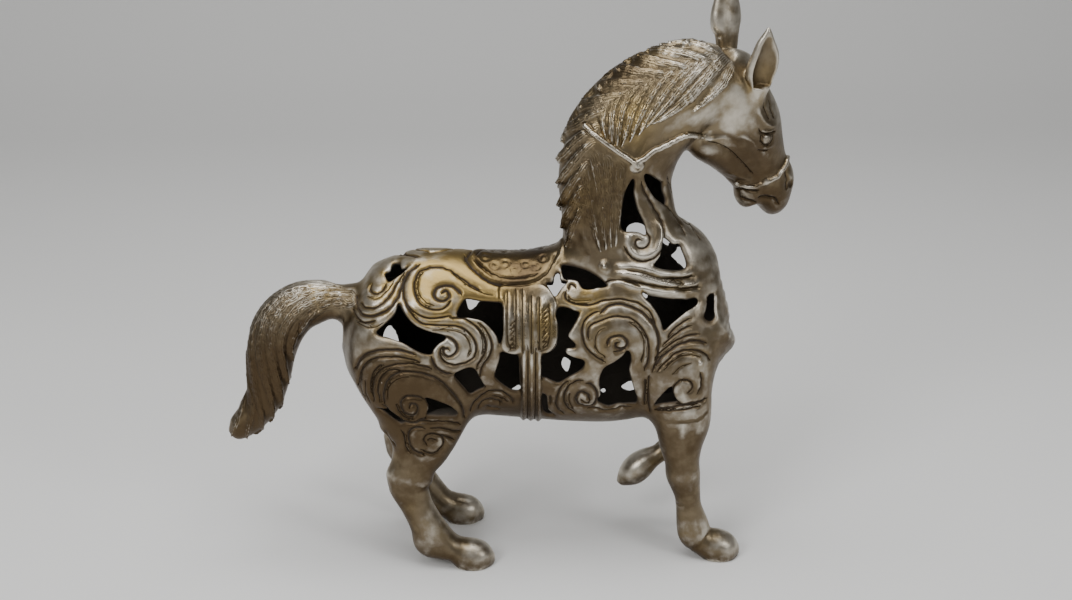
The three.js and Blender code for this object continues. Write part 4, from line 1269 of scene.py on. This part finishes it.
    def tint(self, patch: Patch) -> None:
        """Add gilt and polish_and_highlight, rubbed brightness and painted highlight, to the cells near a
        place: strength * exp(-(d / radius)^2).
        """
        place = self.skin.seen([patch.dot])
        for middle in (place[0], self.skin.other_side(place)[0]):
            cells = self.near(middle - 2 * patch.radius, middle + 2 * patch.radius)
            apart = np.linalg.norm(self.points[cells] - middle, axis=1) / patch.radius
            share = np.exp(-(apart**2)) * smooth_step(2 - apart, 0, 0.5)
            self.gold[cells] += patch.gold * share
            self.polish_and_highlight[cells] += patch.polish_and_highlight * share

    def unrolled(self, limb: Sweep, rim: np.ndarray, cells: np.ndarray) -> np.ndarray:
        """Signed distance of cells to an outline, both unrolled from a limb.

        Args:
            limb: The limb whose length and girth the outline is laid out on.
            rim: Places on the skin round the outline.
            cells: The cells to measure.

        Returns:
            Negative inside the outline.
        """
        length, angle, radius = limb.unrolled(rim)
        middle = np.arctan2(np.sin(angle).mean(), np.cos(angle).mean())

        def laid_flat(along: np.ndarray, around: np.ndarray) -> np.ndarray:
            """Length, and girth from the rim's middle."""
            turn = np.remainder(around - middle + np.pi, 2 * np.pi) - np.pi
            return np.stack([along, turn * radius.mean()], axis=1)

        own_length, own_angle, _ = limb.unrolled(self.points[cells].astype(float))
        return outline(laid_flat(length, angle), laid_flat(own_length, own_angle))

    def within(self, limb: Sweep, rim: np.ndarray, parts: int) -> tuple[np.ndarray, np.ndarray]:
        """The cells near a closed rim and their distance to it, negative inside.

        Args:
            limb: The limb that the rim is unrolled from.
            rim: Places on the skin round it.
            parts: Samples for each span of the smooth curve through them.

        Returns:
            Cells and distances.
        """
        rim = through(rim, np.arange(len(rim) * parts) / parts, closed=True)
        cells = self.near(rim.min(0) - RIM_REACH, rim.max(0) + RIM_REACH)
        return cells, self.unrolled(limb, rim, cells)

    def pierce(self, limb: Sweep, rim: np.ndarray, grow: float = 0.0) -> None:
        """Cut an opening through the shell, grown all round, with a rounded rim."""
        cells, distance = self.within(limb, rim, 3)
        distance = distance - grow
        self.solid[cells] = np.maximum(self.solid[cells], -distance)
        self.edge[cells] = np.where(distance > -2, np.minimum(self.edge[cells], np.maximum(distance, 0)),
                                    self.edge[cells])

    def drill(self, dots: list[tuple[float, float]]) -> None:
        """Cut along the lines of sight through a picture outline, behind the near side."""
        rim = np.asarray(dots, float)
        close = ((self.spots > rim.min(0) - 4) & (self.spots < rim.max(0) + 4)).all(1)
        distance = outline(rim, self.spots[close]) * POINT_SIZE
        cells = self.far[close]
        self.solid[cells] = np.maximum(self.solid[cells], -distance)

    def plate(self, limb: Sweep, rim: np.ndarray, height: float) -> None:
        """Raise the skin inside an outline, with a rolled edge."""
        cells, distance = self.within(limb, rim, 4)
        bump = height * smooth_step(-distance, -self.plate_edge, self.plate_edge)
        self.raised[cells] = np.maximum(self.raised[cells], bump)

    def strap(self, start: float, end: float, height: float, top: float) -> None:
        """Raise a strap round the trunk between two places along x, up to a top: three ribs.

        Its section is height (1 + 0.55 cos 3 pi u) / 1.55, with u from -1 to 1 across it.
        """
        cells = self.near(np.array([start - 1.0, -60, 60]), np.array([end + 1.0, 60, top]))
        across = (2 * self.points[cells][:, 0] - start - end) / (end - start)
        section = (1 + 0.55 * np.cos(3 * np.pi * across)) / 1.55
        bump = height * section * smooth_step(1 - np.abs(across), -0.02, 0.16)
        bump = bump * smooth_step(top - self.points[cells][:, 2], 0, 5)
        inside = np.abs(across) < 1.05
        self.raised[cells[inside]] = np.maximum(self.raised[cells[inside]], bump[inside])
        valley = np.where(np.abs(across) < 0.68, np.abs(np.abs(across) - 1 / 3), 1) * (end - start) / 2
        closer = valley < self.nearest[cells]
        self.nearest[cells[closer]] = valley[closer]
        self.sideways[cells[closer]] = ((np.abs(across) - 1 / 3) * (end - start) / 2)[closer]
        self.edge[cells[inside]] = np.maximum(self.edge[cells[inside]], self.band_reach)

    def relief(self) -> np.ndarray:
        """Height of the chased skin over the plain one: lines, locks and rounded bands.

        A band falls off to its edges as a quarter circle: depth (sqrt(1 - (1 - e)^2) - 1),
        where e is the distance to the edge over the band's reach, up to 1.
        """
        share = np.clip(self.edge / self.band_reach, 0, 1)
        round_off = self.band_depth * (np.sqrt(1 - (1 - share) ** 2) - 1)
        return self.raised + np.minimum(self.cut, 0) + round_off * np.clip(1 - self.raised / 1.5, 0, 1)

    def at_points(self, points: np.ndarray) -> list[np.ndarray]:
        """The values that the cells carry at any points, weighed between the cells."""
        where = (points - self.fine.low) / self.fine.pitch
        low = np.clip(where.astype(int), 0, np.array(self.fine.shape) - 2)
        part = where - low
        tables = (self.sideways, self.nearest, self.strand, self.hair, self.shade, self.gold, self.polish_and_highlight)
        totals, weights = [np.zeros(len(points)) for _ in tables], np.full(len(points), 1e-6)
        for corner in np.ndindex(2, 2, 2):
            cell = self.order[tuple((low + np.array(corner)).T)]
            weight = np.prod(np.where(np.array(corner) == 1, part, 1 - part), axis=1) * (cell >= 0)
            weights += weight
            for total, table in zip(totals, tables):
                total += weight * table[cell]
        return [total / weights for total in totals]

    def field(self) -> np.ndarray:
        """The finished field: chased skin, less the chamber, less the openings, over the floor."""
        chamber = finer(self.skin.chamber, self.skin.lattice, self.fine)
        inner = np.maximum(self.base + WALL, chamber)
        whole = np.maximum(self.base, -inner)
        flat = whole.reshape(-1)
        outer = self.base.reshape(-1)[self.cells] - self.relief()
        outer = blend_low(outer, self.added, 0.6)
        shell = blend_high(outer, -inner.reshape(-1)[self.cells], 0.8)
        flat[self.cells] = blend_high(shell, self.solid, 1.6)
        height = self.fine.axis(2).astype(np.float32)
        return np.maximum(whole, -height[None, None, :])


def surface(field_values: np.ndarray, lattice: Lattice) -> tuple[np.ndarray, np.ndarray]:
    """The surface where a field is zero, as quads with one vertex in each mixed cell.

    A vertex is the mean of the places where the field is zero on its cell's edges.

    Args:
        field_values: The field on the lattice, negative inside.
        lattice: The lattice.

    Returns:
        Vertices in millimetres and rows of four vertex numbers, facing outwards.
    """
    inside = field_values < 0
    shape = np.array(inside.shape) - 1
    total = np.zeros(shape, np.uint8)
    for corner in np.ndindex(2, 2, 2):
        total += inside[tuple(slice(c, c + n) for c, n in zip(corner, shape))]
    mixed = np.flatnonzero((total > 0) & (total < 8))
    cell = np.stack(np.unravel_index(mixed, tuple(shape)), axis=1)
    offsets = np.array(list(np.ndindex(2, 2, 2)))
    corners = np.stack([field_values[tuple((cell + o).T)] for o in offsets], axis=1)
    summed, crossings = np.zeros((len(cell), 3)), np.zeros(len(cell))
    for first in range(8):
        for second in range(first + 1, 8):
            if np.abs(offsets[first] - offsets[second]).sum() != 1:
                continue
            one, other = corners[:, first], corners[:, second]
            crossed = (one < 0) != (other < 0)
            part = np.where(crossed, one / np.where(crossed, one - other, 1), 0)
            place = offsets[first] + part[:, None] * (offsets[second] - offsets[first])
            summed += place * crossed[:, None]
            crossings += crossed
    vertices = lattice.low + lattice.pitch * (cell + summed / crossings[:, None])
    quads = []
    strides = np.array([shape[1] * shape[2], shape[2], 1])
    for axis in range(3):
        one, two = (axis + 1) % 3, (axis + 2) % 3
        window = [slice(1, n) for n in shape]
        window[axis] = slice(0, shape[axis])
        ahead = list(window)
        ahead[axis] = slice(1, shape[axis] + 1)
        here, there = inside[tuple(window)], inside[tuple(ahead)]
        where = np.argwhere(here != there)
        where[:, one] += 1
        where[:, two] += 1
        leaving = inside[tuple(where.T)]
        flat = where @ strides
        back, side = strides[one], strides[two]
        ring = np.stack([flat, flat - back, flat - back - side, flat - side], 1)
        quads.append(np.where(leaving[:, None], ring, ring[:, ::-1]))
    return vertices, np.searchsorted(mixed, np.concatenate(quads)).astype(np.int64)


def largest(vertices: np.ndarray, quads: np.ndarray) -> tuple[np.ndarray, np.ndarray]:
    """Keep the largest connected surface, found by passing the lowest vertex number on."""
    label = np.arange(len(vertices))
    while True:
        lowest = label[quads].min(1)
        fresh = label.copy()
        for column in range(4):
            np.minimum.at(fresh, quads[:, column], lowest)
            np.minimum.at(fresh, label[quads[:, column]], lowest)
        fresh = fresh[fresh]
        if np.array_equal(fresh, label):
            break
        label = fresh
    names, counts = np.unique(label, return_counts=True)
    keep = label == names[counts.argmax()]
    renumber = np.cumsum(keep) - 1
    return vertices[keep], renumber[quads[keep[quads[:, 0]]]]


# Gilt and rubbed places, painted highlights, and places made browner and darker.
PATCHES = [
    Patch((440, 285), 28, 1.1, -0.35),
    Patch((480, 292), 16, 0.8),
    Patch((375, 292), 24, 0.7),
    Patch((510, 262), 26, 0.5, -2.5),
    Patch((545, 325), 14, 0.5, -0.4),
    Patch((583, 296), 14, 0.9, 0.1),
    Patch((615, 330), 22, 0.4, -0.4),
    Patch((455, 345), 18, 0.1, 0.8),
    Patch((640, 250), 13, 0.0, 0.8),
    Patch((655, 279), 16, 0.1, 0.5),
    # Painted highlight on the cheek.
    Patch((724, 108), 23, 0.0, 1.4),
    Patch((675, 125), 24, 0.0, 0.6),
    Patch((650, 90), 26, 0.25, 0.5),
    Patch((610, 120), 18, 0.5, 0.4),
    Patch((650, 330), 12, 0.0, 0.5),
    Patch((470, 552), 20, 0.0, -0.5),
    Patch((715, 545), 20, 0.0, -0.4),
    Patch((690, 352), 24, 0.0, -0.5),
    Patch((262, 385), 40, 0.0, -0.7),
    Patch((320, 290), 14, 0.4, 0.3),
    Patch((768, 182), 5, 0.0, 0.9),
    Patch((636, 165), 5, 0.0, 1.0),
    Patch((700, 363), 8, 0.0, 0.8),
    Patch((405, 395), 34, 0.1, -1.0),
    Patch((400, 470), 30, 0.0, -0.35),
    Patch((680, 450), 30, 0.0, -0.3),
    Patch((775, 195), 20, 0.0, -0.3),
    Patch((600, 408), 40, 0.0, 0.3),
    Patch((720, 165), 16, 0.1, -0.2),
    Patch((600, 205), 30, 0.0, -0.4),
    Patch((620, 62), 26, 0.1, -1.2),
    Patch((580, 120), 20, 0.0, -0.5),
    Patch((740, 70), 12, 0.2, -0.8),
]
# The saddle over the back: from x, to x, and degrees round the trunk.
SADDLE = [
    (-18, -2, 49), (-26, 5, 54), (-34, 11, 62), (-42, 18, 74), (-46, 22, 90), (-42, 18, 106),
    (-34, 11, 118), (-26, 5, 126), (-18, -2, 131),
]
# Its flap, as picture points round the rim.
FLAP = [
    (500, 286), (500, 315), (500, 340), (504, 350), (512, 354), (520, 353), (530, 352), (541, 353),
    (550, 350.5), (556.5, 342), (558, 325), (557, 306), (551, 292), (540, 285), (520, 287),
]
# The girth: from x, to x, its height over the skin and how far up it goes.
STRAP = (-11.8, 3.4, 2.2, 168.0)
# Curls along the saddle: across, down, and which way each turns.
CURLS = [
    (485, 260, 1), (494, 267, -1), (504.5, 266.5, 1), (515, 271, -1), (525.5, 267, 1), (535, 268, -1),
    (543.5, 261, 1),
]
# Hatching down both edges of the flap.
HATCHED = [
    [[(541, 309 + 4.8 * k), (544.5, 305.5 + 4.8 * k), (548.5, 301.5 + 4.8 * k)] for k in range(1, 9)],
    [[(509, 326 + 4.8 * k), (512, 323.5 + 4.8 * k), (515.5, 320 + 4.8 * k)] for k in range(6)],
]


@dataclass
class Horse:
    """The whole statue: it dresses the casting's field and turns it into one mesh."""

    skin: Skin = field(default_factory=Skin)
    pitch: float = 0.75
    quick_pitch: float = 1.5
    seat_height: float = 1.4
    flap_height: float = 1.5
    name: str = "horse_casting"

    def trunk_rim(self, rows: list[tuple[float, float]]) -> np.ndarray:
        """Places on the trunk's skin from rows of x and degrees round it."""
        table = np.asarray(rows, float)
        trunk = self.skin.trunk
        place = np.interp(table[:, 0], trunk.centre[:, 0], np.arange(trunk.count))
        return self.skin.on_ring(trunk, np.column_stack([place / (trunk.count - 1), table[:, 1]]))

    @staticmethod
    def curl(across: float, down: float, sense: int) -> list[tuple[float, float]]:
        """Picture points of a curl: an ellipse whose half axes shrink with the angle turned."""
        return [(across + (5.2 - 0.5 * a) * math.cos(a), down - sense * (4.6 - 0.45 * a) * math.sin(a))
                for a in np.radians(np.arange(-30, 460, 35))]

    def chase(self, casting: Casting) -> None:
        """Cut every line, lay the locks and ropes and raise plates and bosses."""
        seat = [(a, angle) for a, _, angle in SADDLE] + [(b, angle) for _, b, angle in SADDLE[::-1]]
        casting.plate(self.skin.trunk, self.trunk_rim(seat), self.seat_height)
        flap = self.skin.seen(FLAP)
        for rim in (flap, self.skin.settle(self.skin.other_side(flap))):
            casting.plate(self.skin.trunk, rim, self.flap_height)
        for table in (BODY_LINES, NECK_LINES, HEAD_LINES, TAIL_LINES):
            for cut, paths in table.items():
                for dots in paths:
                    casting.chase(Line(dots, cut))
        for curl in CURLS:
            casting.chase(Line(self.curl(*curl), Cut.SOFT))
        for row in HATCHED:
            for dots in row:
                casting.chase(Line(dots))
        casting.strap(*STRAP)
        for lock in MANE + TAIL_LOCKS:
            casting.comb(lock)
        for rope in ROPES:
            casting.lay_rope(rope)
        for boss in BOSSES:
            casting.raise_boss(boss)
        for patch in PATCHES:
            casting.tint(patch)

    def pierce(self, casting: Casting) -> None:
        """Cut the openings of both sides."""
        trunk, neck = self.skin.trunk, self.skin.neck
        for limb, openings in ((trunk, OPENINGS_SEEN), (neck, NECK_OPENINGS_SEEN)):
            for dots in openings.values():
                casting.pierce(limb, self.skin.seen(dots))
        for limb, openings in ((trunk, OPENINGS_FAR), (neck, NECK_OPENINGS_FAR)):
            for dots in openings.values():
                casting.pierce(limb, self.skin.seen_through(dots), FAR_GROW)
        for dots in SEEN_THROUGH:
            casting.drill(dots)

    def build(self) -> bpy.types.Object:
        """Make the mesh: field, surface, thinning to the triangle count, and the attributes."""
        casting = Casting(self.skin, self.pitch)
        self.chase(casting)
        LOG.info("chased")
        self.pierce(casting)
        LOG.info("pierced")
        vertices, quads = largest(*surface(casting.field(), casting.fine))
        LOG.info("surface of %d quads", len(quads))
        rough = self.mesh(self.name + "_full", (vertices + ORIGIN_SHIFT) / 1000, quads)
        piece = bpy.data.objects.new(self.name, rough)
        bpy.context.scene.collection.objects.link(piece)
        thin = piece.modifiers.new("thin", "DECIMATE")
        thin.ratio = min(casting.triangles / (2 * len(quads)), 1.0)
        evaluated = piece.evaluated_get(bpy.context.evaluated_depsgraph_get())
        piece.data = bpy.data.meshes.new_from_object(evaluated)
        piece.modifiers.clear()
        bpy.data.meshes.remove(rough)
        piece.data.name = self.name
        self.mark(casting, piece.data)
        piece.data.shade_smooth()
        LOG.info("%s: %d triangles", self.name, len(piece.data.polygons))
        return piece

    @staticmethod
    def mesh(name: str, vertices: np.ndarray, quads: np.ndarray) -> bpy.types.Mesh:
        """Put whole arrays of vertices and quads into a new mesh."""
        mesh = bpy.data.meshes.new(name)
        mesh.vertices.add(len(vertices))
        mesh.vertices.foreach_set("co", vertices.astype(np.float32).ravel())
        mesh.loops.add(quads.size)
        mesh.loops.foreach_set("vertex_index", quads.astype(np.int32).ravel())
        mesh.polygons.add(len(quads))
        mesh.polygons.foreach_set("loop_start", np.arange(0, quads.size, 4, dtype=np.int32))
        mesh.polygons.foreach_set("loop_total", np.full(len(quads), 4, np.int32))
        mesh.update(calc_edges=True)
        return mesh

    def mark(self, casting: Casting, mesh: bpy.types.Mesh) -> None:
        """Write the attributes that the patina, the painted shade and the painted highlights read.

        hollow: how deep a vertex lies under the plain skin, 1 at 2.4 mm, plus painted shade in the ears'
        cups and in the creases and edges of the locks.
        underside_shade: painted shade, 0 where the skin looks up, 1 where it looks down and is painted
        browner and darker.
        inside: 1 on the walls of openings and of the chamber, which are painted near-black as shade.
        line, near_line: millimetres sideways from the nearest chased line, and how near it is.
        strand, hair: millimetres sideways in a lock, and how far from its edges.
        gold, polish_and_highlight: where the brass shows through, and where hands have rubbed it bright or a
        highlight is painted on.
        ridge: how far a vertex stands over the mean of its neighbours.
        """
        points = self.read(mesh.vertices, "co", 3, np.float32).astype(float) * 1000 - ORIGIN_SHIFT
        normal = self.read(mesh.vertex_normals, "vector", 3, np.float32)
        one, other = self.read(mesh.edges, "vertices", 2, np.int32).T
        under = -casting.fine.sample(casting.base, points)
        count = len(points)
        neighbours = np.maximum(np.bincount(one, minlength=count) + np.bincount(other, minlength=count), 1)
        ridge = self.over_neighbours(points, normal, one, other, neighbours)
        for _ in range(2):
            ridge = 0.5 * ridge + 0.5 * self.spread(ridge, one, other, neighbours)
        outward = self.skin.outward(points)
        facing = (normal * outward).sum(1)
        line, apart, strand, hair, shade, gold, polish_and_highlight = casting.at_points(points)
        values = {
            # Patina depth, plus the painted shade of the ears' cups and the lock creases.
            "hollow": np.clip(under / 2.4, 0, 1) - 0.35 * smooth_step(-under, 0.3, 2.2) + 0.55 * shade,
            "inside": np.maximum(smooth_step(under, 1.9, 2.9),
                                 smooth_step(under, 0.5, 1.2) * smooth_step(-facing, -0.45, 0.1)),
            "ridge": np.clip(ridge / 0.35, -1, 1) * 0.5 + 0.5,
            # Painted shade: browner and darker where the skin faces down.
            "underside_shade": smooth_step(-outward[:, 2], -0.75, 0.65),
            "line": np.clip(line, -3, 3),
            "near_line": np.clip(1 - apart / 3, 0, 1),
            "strand": strand,
            "hair": hair,
            "gold": np.clip(gold, -1, 1.2),
            "polish_and_highlight": np.clip(polish_and_highlight, -2.5, 1.2),
        }
        for key, table in values.items():
            mesh.attributes.new(key, "FLOAT", "POINT").data.foreach_set("value", table.astype(np.float32))

    @staticmethod
    def read(rows: bpy.types.bpy_prop_collection, key: str, width: int, kind: type) -> np.ndarray:
        """A property of each vertex, normal or edge of a mesh, one row each."""
        table = np.empty(len(rows) * width, kind)
        rows.foreach_get(key, table)
        return table.reshape(-1, width)

    @staticmethod
    def spread(values: np.ndarray, one: np.ndarray, other: np.ndarray, neighbours: np.ndarray) -> np.ndarray:
        """The mean of each vertex's neighbours."""
        count = len(values)
        total = np.bincount(one, values[other], count) + np.bincount(other, values[one], count)
        return total / neighbours

    def over_neighbours(self, points: np.ndarray, normal: np.ndarray, one: np.ndarray,
                        other: np.ndarray, neighbours: np.ndarray) -> np.ndarray:
        """Height of each vertex over the mean of its neighbours, along its normal."""
        mean = np.stack([self.spread(points[:, k], one, other, neighbours) for k in range(3)], axis=1)
        return ((points - mean) * normal).sum(1)


@dataclass
class Bench:
    """A material's node tree, with short ways to add nodes to it."""

    tree: bpy.types.NodeTree

    def fill(self, entry: Socket, value: Socket | Colour | float) -> None:
        """Link a value to a node's input, or set a plain number or colour on it."""
        if isinstance(value, float):
            entry.default_value = value
        elif isinstance(value, tuple):
            entry.default_value = (*value, 1.0)
        else:
            self.tree.links.new(value, entry)

    def math(self, work: str, *given: Socket | float) -> Socket:
        """The result of a math node on values and plain numbers."""
        node = self.tree.nodes.new("ShaderNodeMath")
        node.operation = work
        for entry, value in zip(node.inputs, given):
            self.fill(entry, value)
        return node.outputs[0]

    def weighed(self, *parts: tuple[Socket, float]) -> Socket:
        """The sum of some values, each times its weight."""
        total: Socket | float = 0.0
        for value, weight in parts:
            total = self.math("MULTIPLY_ADD", value, weight, total)
        return total

    def attribute(self, name: str) -> Socket:
        """A value that the mesh carries."""
        node = self.tree.nodes.new("ShaderNodeAttribute")
        node.attribute_name = name
        return node.outputs["Fac"]

    def noise(self, place: Socket, scale: float, detail: float) -> Socket:
        """Noise with a scale per metre and a number of octaves."""
        node = self.tree.nodes.new("ShaderNodeTexNoise")
        for name, value in (("Vector", place), ("Scale", scale), ("Detail", detail)):
            self.fill(node.inputs[name], value)
        return node.outputs["Fac"]

    def mix(self, share: Socket, one: Socket | Colour, other: Colour) -> Socket:
        """The first colour where share is 0, the second where it is 1."""
        node = self.tree.nodes.new("ShaderNodeMix")
        node.data_type = "RGBA"
        for entry, value in ((0, share), (6, one), (7, other)):
            self.fill(node.inputs[entry], value)
        return node.outputs[2]

    def span(self, value: Socket, low: float, high: float) -> Socket:
        """0 at low and 1 at high, with soft ends."""
        node = self.tree.nodes.new("ShaderNodeMapRange")
        node.interpolation_type = "SMOOTHSTEP"
        settings = {"Value": value, "From Min": min(low, high), "From Max": max(low, high),
                    "To Min": float(low > high), "To Max": float(low < high)}
        for name, setting in settings.items():
            self.fill(node.inputs[name], setting)
        return node.outputs["Result"]


@dataclass(frozen=True)
class AntiqueMetal:
    """Silvered brass, browned in the hollows and rubbed bright on the high places, with painted shade
    underneath, on the inner walls, in the ears' cups and between locks, and painted highlights.

    The noises are clouds of gilt, a mottle of the patina and the grain of the casting skin, each
    with its scale and its octaves.
    """

    silver: Colour = (0.215, 0.172, 0.112)
    brass: Colour = (0.31, 0.22, 0.085)
    brown: Colour = (0.082, 0.056, 0.031)
    umber: Colour = (0.026, 0.017, 0.009)
    inner_shade: Colour = (0.030, 0.024, 0.017)
    bright: Colour = (0.62, 0.575, 0.49)
    clouds: tuple[float, float] = (22.0, 4.0)
    mottling: tuple[float, float] = (150.0, 6.0)
    graining: tuple[float, float] = (1100.0, 3.0)
    smoothest: float = 0.24
    bump_strength: float = 0.4
    bump_height: float = 0.0006
    strand_width: float = 1.5

    def material(self) -> bpy.types.Material:
        """Make the node material."""
        made = bpy.data.materials.new("antique_silvered_brass")
        made.use_nodes = True
        bench = Bench(made.node_tree)
        shader = made.node_tree.nodes["Principled BSDF"]
        place = made.node_tree.nodes.new("ShaderNodeTexCoord").outputs["Object"]
        names = ("hollow", "inside", "ridge", "underside_shade", "gold", "polish_and_highlight")
        hollow, inside, ridge, underside_shade, gold, polish_and_highlight = (bench.attribute(name) for name in names)
        noises = (self.clouds, self.mottling, self.graining)
        cloud, mottle, grain = (bench.noise(place, *noise) for noise in noises)
        scratch, combed = self.scratched(bench), self.combed(bench)
        golden = bench.weighed((cloud, 1.3), (gold, 0.75))
        colour = bench.mix(bench.span(golden, 0.60, 1.25), self.silver, self.brass)
        # Browner with the mottle and the brown patches, and darker as painted shade where the skin faces
        # down.
        shade = bench.weighed((underside_shade, 0.9), (mottle, 0.7), (gold, -0.45), (polish_and_highlight, -0.45))
        colour = bench.mix(bench.span(shade, 0.45, 1.30), colour, self.brown)
        # Bright where ridges are rubbed, plus painted highlight from polish_and_highlight, and less of it
        # where the skin faces down.
        wear_and_highlight = bench.weighed((ridge, 1.0), (mottle, 0.45), (underside_shade, -0.25), (combed, 0.10),
                             (polish_and_highlight, 0.22), (gold, -0.10))
        colour = bench.mix(bench.span(wear_and_highlight, 0.62, 1.0), colour, self.bright)
        # Patina in the hollows, with the painted shade that the hollow attribute carries.
        deep = bench.weighed((hollow, 1.0), (mottle, 0.5), (ridge, -0.5), (combed, -0.28))
        colour = bench.mix(bench.span(deep, 0.10, 0.70), colour, self.brown)
        colour = bench.mix(bench.span(deep, 0.55, 1.05), colour, self.umber)
        colour = bench.mix(bench.weighed((scratch, 0.8)), colour, self.umber)
        # Painted shade: near-black on the walls of openings and of the chamber.
        colour = bench.mix(bench.span(inside, 0.1, 0.9), colour, self.inner_shade)
        bench.fill(shader.inputs["Base Color"], colour)
        dull = bench.weighed((hollow, 0.30), (mottle, 0.25), (inside, 0.3), (scratch, 0.3))
        bench.fill(shader.inputs["Roughness"], bench.math("ADD", dull, self.smoothest))
        metal = bench.span(bench.weighed((deep, 1.0), (inside, 0.6)), 0.9, 0.4)
        bench.fill(shader.inputs["Metallic"], metal)
        bump = made.node_tree.nodes.new("ShaderNodeBump")
        height = bench.weighed((grain, 0.35), (mottle, 1.0), (scratch, -0.8), (combed, 0.35))
        settings = {"Strength": self.bump_strength, "Distance": self.bump_height, "Height": height}
        for name, setting in settings.items():
            bench.fill(bump.inputs[name], setting)
        bench.fill(shader.inputs["Normal"], bump.outputs["Normal"])
        return made

    @staticmethod
    def scratched(bench: Bench) -> Socket:
        """1 in the thin core of a chased line: near it, and under half a millimetre from it."""
        core = bench.span(bench.math("ABSOLUTE", bench.attribute("line")), 0.55, 0.18)
        close = bench.span(bench.attribute("near_line"), 0.35, 0.6)
        return bench.math("MULTIPLY", core, close)

    def combed(self, bench: Bench) -> Socket:
        """Fine hair lines: the sine of the way across a lock, faded at the lock's edges."""
        turns = bench.weighed((bench.attribute("strand"), 2 * math.pi / self.strand_width))
        return bench.math("MULTIPLY", bench.math("SINE", turns), bench.attribute("hair"))


@dataclass
class Studio:
    """Pale floor, soft lights, and the camera of the photograph."""

    floor_colour: Colour = (0.86, 0.86, 0.85)
    floor_half: float = 3.0
    floor_back: float = 2.4
    bend_from: float = 1.2
    bend_rise: float = 1.2
    sensor: float = 36.0
    ambient: float = 0.20

    def floor(self) -> None:
        """A pale floor that curves up at the back: its rise is a factor times (y - y0)^2 behind y0."""
        across = np.linspace(-self.floor_half, self.floor_half, 5)
        along = np.linspace(-self.floor_half, self.floor_back, 40)
        bend = np.maximum(along - self.bend_from, 0)
        x, y = np.meshgrid(across, along, indexing="ij")
        z = np.broadcast_to(bend**2 * self.bend_rise, x.shape)
        vertices = np.stack([x, y, z], axis=-1).reshape(-1, 3)
        row = np.arange(len(across) - 1)[:, None] * len(along) + np.arange(len(along) - 1)[None]
        row = row.reshape(-1)
        quads = np.stack([row, row + len(along), row + len(along) + 1, row + 1], axis=1)
        piece = bpy.data.objects.new("floor", Horse.mesh("floor", vertices, quads))
        bpy.context.scene.collection.objects.link(piece)
        paper = bpy.data.materials.new("pale_paper")
        paper.use_nodes = True
        shader = paper.node_tree.nodes["Principled BSDF"]
        shader.inputs["Base Color"].default_value = (*self.floor_colour, 1)
        shader.inputs["Roughness"].default_value = 0.9
        piece.data.materials.append(paper)

    @staticmethod
    def lamp(name: str, place: tuple[float, float, float], size: float, power: float,
             target: tuple[float, float, float] = (0.0, 0.0, 0.2)) -> None:
        """A square soft light that faces a target."""
        data = bpy.data.lights.new(name, "AREA")
        data.size = size
        data.energy = power
        light = bpy.data.objects.new(name, data)
        light.location = place
        light.rotation_euler = (Vector(target) - Vector(place)).to_track_quat("-Z", "Y").to_euler()
        bpy.context.scene.collection.objects.link(light)

    def lights(self) -> None:
        """A large light overhead, one from the left front, a weak one from the right."""
        world = bpy.data.worlds.new("studio")
        world.use_nodes = True
        world.node_tree.nodes["Background"].inputs["Color"].default_value = (1.0, 0.99, 0.97, 1)
        world.node_tree.nodes["Background"].inputs["Strength"].default_value = self.ambient
        bpy.context.scene.world = world
        self.lamp("overhead", (0.0, -0.2, 1.5), 1.2, 18.0)
        self.lamp("front_left", (-0.9, -1.3, 1.2), 0.7, 13.0)
        self.lamp("front_right", (1.1, -1.0, 0.9), 0.35, 4.0)

    def camera(self, eye: Eyepoint) -> None:
        """Set the camera at the photograph's eye point."""
        data = bpy.data.cameras.new("eye")
        data.sensor_width = self.sensor
        data.lens = eye.focal / eye.frame_width * self.sensor
        data.clip_start, data.clip_end = 0.05, 30.0
        camera = bpy.data.objects.new("eye", data)
        camera.location = (eye.place() + ORIGIN_SHIFT) / 1000
        camera.rotation_euler = Vector(eye.axes()[0]).to_track_quat("Z", "Y").to_euler()
        bpy.context.scene.collection.objects.link(camera)
        bpy.context.scene.camera = camera


def main() -> None:
    """Build the studio and the horse."""
    logging.basicConfig(level=logging.INFO, format="%(relativeCreated)d %(name)s %(message)s")
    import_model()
    horse = Horse()
    studio = Studio()
    studio.camera(horse.skin.eye)
    studio.floor()
    studio.lights()
    piece = horse.build()
    piece.data.materials.append(AntiqueMetal().material())
    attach(piece, "root")
    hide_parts("horse")
    LOG.info("piece %s is ready", piece.name)


if __name__ == "__main__":
    main()
